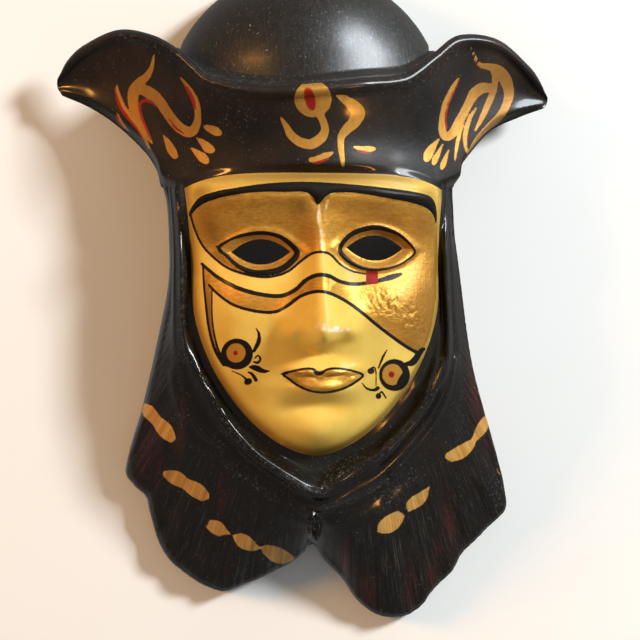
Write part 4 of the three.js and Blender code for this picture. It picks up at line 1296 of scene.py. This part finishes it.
class Net:
    """Builds one material's nodes."""

    def __init__(self, name):
        self.material = bpy.data.materials.new(name)
        self.material.use_nodes = True
        self.tree = self.material.node_tree
        self.tree.nodes.clear()
        self.out = self.tree.nodes.new("ShaderNodeOutputMaterial")
        self.place = self.tree.nodes.new("ShaderNodeTexCoord").outputs["Object"]

    def put(self, socket, value):
        if isinstance(value, bpy.types.NodeSocket):
            self.tree.links.new(value, socket)
        elif isinstance(value, tuple) and len(socket.default_value) > len(value):
            socket.default_value = (*value, 1.0)
        else:
            socket.default_value = value

    def node(self, kind, inputs=(), **settings):
        node = self.tree.nodes.new(kind)
        for key, value in settings.items():
            setattr(node, key, value)
        for key, value in dict(inputs).items():
            self.put(node.inputs[key], value)
        return node

    def read(self, name):
        return self.node("ShaderNodeAttribute", attribute_name=name).outputs["Fac"]

    def math(self, operation, a, b=0.0):
        return self.node("ShaderNodeMath", {0: a, 1: b}, operation=operation).outputs[0]

    def times(self, a, b):
        return self.math("MULTIPLY", a, b)

    def most(self, first, *others):
        for other in others:
            first = self.math("MAXIMUM", first, other)
        return first

    def rest(self, share):
        return self.math("SUBTRACT", 1.0, share)

    def scaled(self, size):
        return self.node("ShaderNodeMapping", {"Vector": self.place, "Scale": size}).outputs[0]

    def noise(self, scale, detail=2.0, rough=0.5, vector=None):
        """Noise from 0 to 1. scale is about the number of lumps in a metre."""
        inputs = {"Scale": scale, "Detail": detail, "Roughness": rough, "Vector": vector or self.place}
        return self.node("ShaderNodeTexNoise", inputs).outputs["Fac"]

    def blotches(self, low, high, *noise):
        """Noise that is 0 under low and 1 over high."""
        return self.span(self.noise(*noise), low, high)

    def wobble(self, reach, *noise):
        """Noise from -reach to reach."""
        return self.span(self.noise(*noise), 0, 1, -reach, reach)

    def spots(self, scale):
        inputs = {"Scale": scale, "Vector": self.place}
        return self.node("ShaderNodeTexVoronoi", inputs).outputs["Distance"]

    def span(self, value, low, high, to_low=0.0, to_high=1.0):
        inputs = {0: value, 1: low, 2: high, 3: to_low, 4: to_high}
        return self.node("ShaderNodeMapRange", inputs, clamp=True).outputs[0]

    def mix(self, share, a, b):
        """A mix of two colours."""
        return self.node("ShaderNodeMix", {0: share, 6: a, 7: b}, data_type="RGBA").outputs[2]

    def blend(self, share, a, b):
        """A mix of two numbers."""
        return self.node("ShaderNodeMix", {0: share, 2: a, 3: b}, data_type="FLOAT").outputs[0]

    def bumped(self, height, distance, strength=1.0, normal=None):
        inputs = {"Height": height, "Distance": distance, "Strength": strength}
        if normal is not None:
            inputs["Normal"] = normal
        return self.node("ShaderNodeBump", inputs).outputs[0]

    def painted(self, name, wobble, edge=0.16):
        """1 inside a painted shape and 0 outside, with a slightly uneven edge. edge is in mm."""
        return self.span(self.math("ADD", self.read(name), wobble), edge, -edge)

    def finish(self, **inputs):
        shader = self.node("ShaderNodeBsdfPrincipled")
        for key, value in inputs.items():
            self.put(shader.inputs[key.replace("_", " ")], value)
        self.tree.links.new(shader.outputs[0], self.out.inputs["Surface"])
        return self.material


# Colours, in linear values.
CREAM = (0.76, 0.53, 0.115)
CREAM_DEEP = (0.68, 0.43, 0.075)
SPECK_BROWN = (0.20, 0.10, 0.03)
# The brown of grime and painted shade.
GRIME_SHADE_BROWN = (0.24, 0.13, 0.03)
GOLD = (0.61, 0.34, 0.060)
GOLD_DEEP = (0.40, 0.20, 0.031)
TARNISH = (0.40, 0.19, 0.030)
# The darker gilding that painted shade, darker tone and grime mix in.
GOLD_SHADE = (0.24, 0.105, 0.018)
# Pale gesso of chipped paint, also the colour of the painted highlight on the nose tip.
GESSO_AND_HIGHLIGHT = (0.78, 0.66, 0.52)
WORN_GILT = (0.72, 0.50, 0.15)
INK = (0.012, 0.010, 0.009)
RED = (0.28, 0.012, 0.007)
OCHRE = (0.42, 0.20, 0.032)
OCHRE_LIGHT = (0.52, 0.28, 0.05)
# The darker ochre that painted shade and darker tone mix in.
OCHRE_SHADE = (0.20, 0.085, 0.018)
DASH = (0.66, 0.38, 0.10)
DASH_DEEP = (0.46, 0.21, 0.035)
LACQUER = (0.0058, 0.0048, 0.0038)
LACQUER_BROWN = (0.016, 0.009, 0.005)
BRIM_BROWN = (0.029, 0.018, 0.012)
VALLEY_BROWN = (0.009, 0.006, 0.003)
VALLEY_GREEN = (0.008, 0.008, 0.005)
RED_BROWN_TINT = (0.062, 0.009, 0.006)
# The grey of brush streaks and painted sheen on the skirt.
STREAK_AND_SHEEN = (0.055, 0.045, 0.034)
CROWN_DARK = (0.011, 0.0095, 0.0080)
CROWN_LIGHT = (0.023, 0.020, 0.016)
DUST = (0.30, 0.28, 0.25)
# The bluish grey of scuffs and painted highlights.
SCUFF_AND_SHEEN = (0.17, 0.19, 0.21)
LINING_DARK = (0.022, 0.012, 0.010)
LINING = (0.040, 0.022, 0.016)
LINING_PATCH = (0.060, 0.034, 0.024)
PULP = (0.40, 0.31, 0.20)
FLOOR = (0.80, 0.80, 0.79)
FLOOR_LIGHT = (0.83, 0.83, 0.82)


def make_face_material():
    net = Net("painted_face")
    wobble = net.wobble(0.28, 420, 3.0)
    gold = net.painted("gold_paint", wobble)
    black = net.painted("black_line", net.wobble(0.22, 700, 3.0))
    ochre = net.painted("ochre_paint", wobble)
    red = net.painted("red_paint", net.times(wobble, 0.5))
    # Chipped paint on the nose's root, and a painted highlight on the nose tip.
    chip = net.painted("chip", net.wobble(0.9, 500, 4.0, 0.7), 0.5)
    specks = net.times(net.span(net.spots(330), 0.10, 0.04), net.blotches(0.52, 0.62, 45))
    cream = net.mix(net.blotches(0.3, 0.75, 60, 5.0, 0.6), CREAM, CREAM_DEEP)
    cream = net.mix(net.times(specks, 0.55), cream, SPECK_BROWN)
    # Grime and painted shade darken the cream near the face's edge and under the brim.
    grime = net.times(net.read("grime"), net.blotches(0.15, 0.45, 35, 4.0))
    cream = net.mix(net.times(grime, 0.88), cream, GRIME_SHADE_BROWN)
    brushed = net.blotches(0.34, 0.66, 1, 6.0, 0.65, net.scaled((260, 700, 260)))
    gilt = net.mix(brushed, GOLD_DEEP, GOLD)
    gilt = net.mix(net.span(net.noise(42, 6.0, 0.62), 0.38, 0.68, 0.0, 0.65), gilt, TARNISH)
    # Painted shade and darker tone from the patches, and grime with painted shade, darken the gilding.
    dark = net.most(net.times(net.read("shade"), 0.75), net.times(grime, 0.8))
    gilt = net.mix(dark, gilt, GOLD_SHADE)
    colour = net.mix(gold, cream, gilt)
    colour = net.mix(black, colour, INK)
    colour = net.mix(ochre, colour, OCHRE)
    colour = net.mix(red, colour, RED)
    colour = net.mix(chip, colour, net.mix(net.blotches(0.42, 0.58, 260), GESSO_AND_HIGHLIGHT, WORN_GILT))
    metal = net.times(gold, net.rest(net.most(black, ochre, red, chip)))
    normal = net.bumped(net.noise(420, 6.0, 0.7), 0.00040, net.times(metal, 0.9))
    wrinkles = net.math("ABSOLUTE", net.math("SUBTRACT", net.noise(210), 0.5))
    normal = net.bumped(wrinkles, 0.0030, net.times(net.read("crinkle"), 0.6), normal)
    normal = net.bumped(net.most(black, ochre), 0.00012, 0.7, normal)
    normal = net.bumped(net.noise(150, 3.0), 0.00025, 0.35, normal)
    return net.finish(
        Base_Color=colour, Metallic=net.times(metal, 0.32), Roughness=net.blend(metal, 0.5, 0.42),
        Specular_IOR_Level=0.04, Coat_Weight=0.06, Coat_Roughness=0.2, Normal=normal,
    )


def add_dust_and_sheen(net, colour, amount):
    """Pale dust specks on the lacquer, and bluish scuffs for wear that are also painted highlights on
    the ridges, the lip and the crown.
    """
    patches = net.span(net.noise(60, 3.0), 0.35, 0.65, 0.2, 1.0)
    speck = net.times(net.times(net.blotches(0.67, 0.72, 720), patches), amount)
    colour = net.mix(speck, colour, DUST)
    # Bluish scuffs of wear that are also painted highlights.
    scuff_and_sheen = net.times(net.times(net.blotches(0.55, 0.68, 520, 5.0, 0.75), net.read("worn")), 0.55)
    return net.mix(scuff_and_sheen, colour, SCUFF_AND_SHEEN)


def make_hood_material():
    net = Net("lacquered_hood")
    fan, across = net.read("fan"), net.read("across")
    flow = net.node("ShaderNodeCombineXYZ", {"X": fan, "Y": net.times(across, 3.0)}).outputs[0]
    streak = net.noise(1.1, 4.0, 0.6, flow)
    fine = net.noise(5.0, 3.0, 0.6, flow)
    skirt_share = net.span(across, 0.5, 0.62)
    valley_share = net.span(across, 0.24, 0.20)
    brown = net.times(net.span(streak, 0.5, 0.72), skirt_share)
    colour = net.mix(net.times(brown, 0.8), LACQUER, LACQUER_BROWN)
    # Grey brush streaks along the pleats, made lighter as painted sheen.
    grey = net.times(net.span(fine, 0.56, 0.70), skirt_share)
    colour = net.mix(net.times(grey, 0.85), colour, STREAK_AND_SHEEN)
    red = net.times(net.read("red_brown"), net.span(fine, 0.40, 0.62))
    colour = net.mix(red, colour, RED_BROWN_TINT)
    valley = net.mix(net.blotches(0.4, 0.6, 25), VALLEY_BROWN, VALLEY_GREEN)
    colour = net.mix(valley_share, colour, valley)
    colour = add_dust_and_sheen(net, colour, 0.30)
    gold = net.painted("gold_paint", net.wobble(0.35, 420, 3.0), 0.22)
    colour = net.mix(gold, colour, net.mix(net.span(streak, 0.35, 0.65), DASH_DEEP, DASH))
    normal = net.bumped(fine, 0.0022, net.times(skirt_share, 0.75))
    between = net.times(net.rest(skirt_share), net.rest(valley_share))
    phase = net.math("ADD", net.times(across, 200.0), net.times(net.noise(60), 5.0))
    ribs = net.times(net.math("SINE", phase), net.blotches(0.35, 0.65, 120))
    normal = net.bumped(ribs, 0.0003, net.times(between, 0.5), normal)
    normal = net.bumped(net.noise(320, 3.0, 0.6), 0.0006, 0.5, normal)
    return net.finish(
        Base_Color=colour, Metallic=net.times(gold, 0.25), Roughness=net.blend(gold, 0.6, 0.42),
        Specular_IOR_Level=0.05, Coat_Weight=0.6, Coat_Roughness=0.18, Normal=normal,
    )


def make_brim_material():
    net = Net("painted_brim")
    wobble = net.wobble(0.3, 420, 3.0)
    ochre = net.painted("ochre_paint", wobble, 0.2)
    red = net.painted("red_paint", wobble, 0.3)
    colour = net.mix(net.blotches(0.35, 0.7, 22, 3.0), LACQUER, BRIM_BROWN)
    colour = add_dust_and_sheen(net, colour, 0.28)
    brushed = net.blotches(0.3, 0.7, 1, 4.0, 0.6, net.scaled((500, 120, 300)))
    tone = net.mix(brushed, OCHRE, OCHRE_LIGHT)
    # Painted shade on the wings and the middle of the brim, and darker tone, darken the ochre.
    tone = net.mix(net.times(net.read("shade"), 0.85), tone, OCHRE_SHADE)
    colour = net.mix(ochre, colour, tone)
    colour = net.mix(red, colour, RED)
    normal = net.bumped(ochre, 0.0001, 0.6)
    normal = net.bumped(net.noise(260, 3.0, 0.6), 0.0005, 0.4, normal)
    return net.finish(
        Base_Color=colour, Metallic=net.times(ochre, 0.25), Roughness=net.blend(ochre, 0.5, 0.45),
        Specular_IOR_Level=0.1, Coat_Weight=0.35, Coat_Roughness=0.14, Normal=normal,
    )


def make_crown_material():
    net = Net("lacquered_crown")
    strokes = net.noise(1, 5.0, 0.7, net.scaled((900, 60, 300)))
    colour = net.mix(net.span(strokes, 0.45, 0.75), CROWN_DARK, CROWN_LIGHT)
    colour = add_dust_and_sheen(net, colour, 0.7)
    return net.finish(
        Base_Color=colour, Roughness=net.span(strokes, 0.3, 0.8, 0.32, 0.5), Specular_IOR_Level=0.2,
        Coat_Weight=0.32, Coat_Roughness=0.3, Normal=net.bumped(strokes, 0.0004, 0.35),
    )


def make_back_material():
    net = Net("painted_lining")
    pulp = net.noise(220, 6.0, 0.7)
    colour = net.mix(net.span(pulp, 0.3, 0.7), LINING_DARK, LINING)
    colour = net.mix(net.span(net.noise(18, 3.0), 0.45, 0.7, 0.0, 0.5), colour, LINING_PATCH)
    colour = net.mix(net.span(net.noise(90, 6.0, 0.8), 0.68, 0.74, 0.0, 0.6), colour, PULP)
    fibres = net.noise(1, 5.0, 0.7, net.scaled((140, 500, 140)))
    normal = net.bumped(pulp, 0.0009, 0.5)
    normal = net.bumped(fibres, 0.0006, 0.4, normal)
    return net.finish(Base_Color=colour, Roughness=net.span(pulp, 0, 1, 0.7, 0.95), Normal=normal)


FLOOR_HALF = 1.6


def make_floor():
    corners = [(x * FLOOR_HALF, y * FLOOR_HALF, 0) for x, y in ((-1, -1), (1, -1), (1, 1), (-1, 1))]
    mesh = bpy.data.meshes.new("floor")
    mesh.from_pydata(corners, [], [(0, 1, 2, 3)])
    net = Net("pale_floor")
    colour = net.mix(net.blotches(0.3, 0.7, 6, 3.0), FLOOR, FLOOR_LIGHT)
    mesh.materials.append(net.finish(Base_Color=colour, Roughness=0.85))
    floor = link_object("floor", mesh)
    floor.visible_glossy = False


# What the lights point at, and the light from all round.
LIT_PLACE = Vector((0, 0, 0.05))
WORLD_COLOUR = (0.98, 0.97, 0.96, 1.0)
WORLD_STRENGTH = 0.26


def add_light(name, direction, distance, size, energy, colour, unlit=None):
    """A soft rectangular light that points at the mask. It leaves out what unlit names."""
    light = bpy.data.lights.new(name, "AREA")
    light.shape = "RECTANGLE"
    light.size, light.size_y = size
    light.energy = energy
    light.color = colour
    lamp = bpy.data.objects.new(name, light)
    away = Vector(direction).normalized()
    lamp.location = LIT_PLACE + away * distance
    lamp.rotation_euler = (-away).to_track_quat("-Z", "Y").to_euler()
    lamp.visible_camera = False
    lamp.visible_diffuse = unlit != "diffuse"
    lamp.visible_glossy = unlit != "glossy"
    bpy.context.scene.collection.objects.link(lamp)


# Direction from the mask, distance, width and height, power, colour, and what isn't lit.
LIGHTS = {
    "key": ((0.67, 0.42, 0.61), 2.4, (0.43, 0.43), 71.0, (0.97, 1.0, 1.0)),
    "warm_fill": ((-0.81, 0.20, 0.38), 2.6, (0.65, 0.65), 49.0, (1.0, 0.49, 0.10), "glossy"),
    "warm_glint": ((-0.70, 0.50, 0.50), 1.2, (0.14, 0.14), 8.0, (1.0, 0.42, 0.08), "diffuse"),
    "low_glint": ((0.60, -0.50, 0.62), 1.2, (0.10, 0.10), 2.5, (1.0, 0.40, 0.06), "diffuse"),
    "sheen": ((0.66, 0.66, 0.36), 1.3, (0.90, 0.50), 50.0, (0.86, 0.93, 1.0), "diffuse"),
}


def make_lights():
    for name, values in LIGHTS.items():
        add_light(name, *values)
    world = bpy.data.worlds.new("studio")
    world.use_nodes = True
    background = world.node_tree.nodes["Background"]
    background.inputs["Color"].default_value = WORLD_COLOUR
    background.inputs["Strength"].default_value = WORLD_STRENGTH
    bpy.context.scene.world = world
    bpy.context.scene.view_settings.view_transform = "Standard"


def make_camera():
    data = bpy.data.cameras.new("camera")
    data.sensor_width = SENSOR
    data.lens = LENS
    camera = bpy.data.objects.new("camera", data)
    camera.location = (CAMERA_PLACE - MIDDLE) * MM
    camera.rotation_euler = Euler((0, YAW, 0))
    bpy.context.scene.collection.objects.link(camera)
    bpy.context.scene.camera = camera


make_camera()
make_lights()
make_floor()
mask = make_mask([
    make_face_material(), make_hood_material(), make_brim_material(), make_crown_material(),
    make_back_material(),
])
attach(mask, "root")
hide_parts("mask_shell")
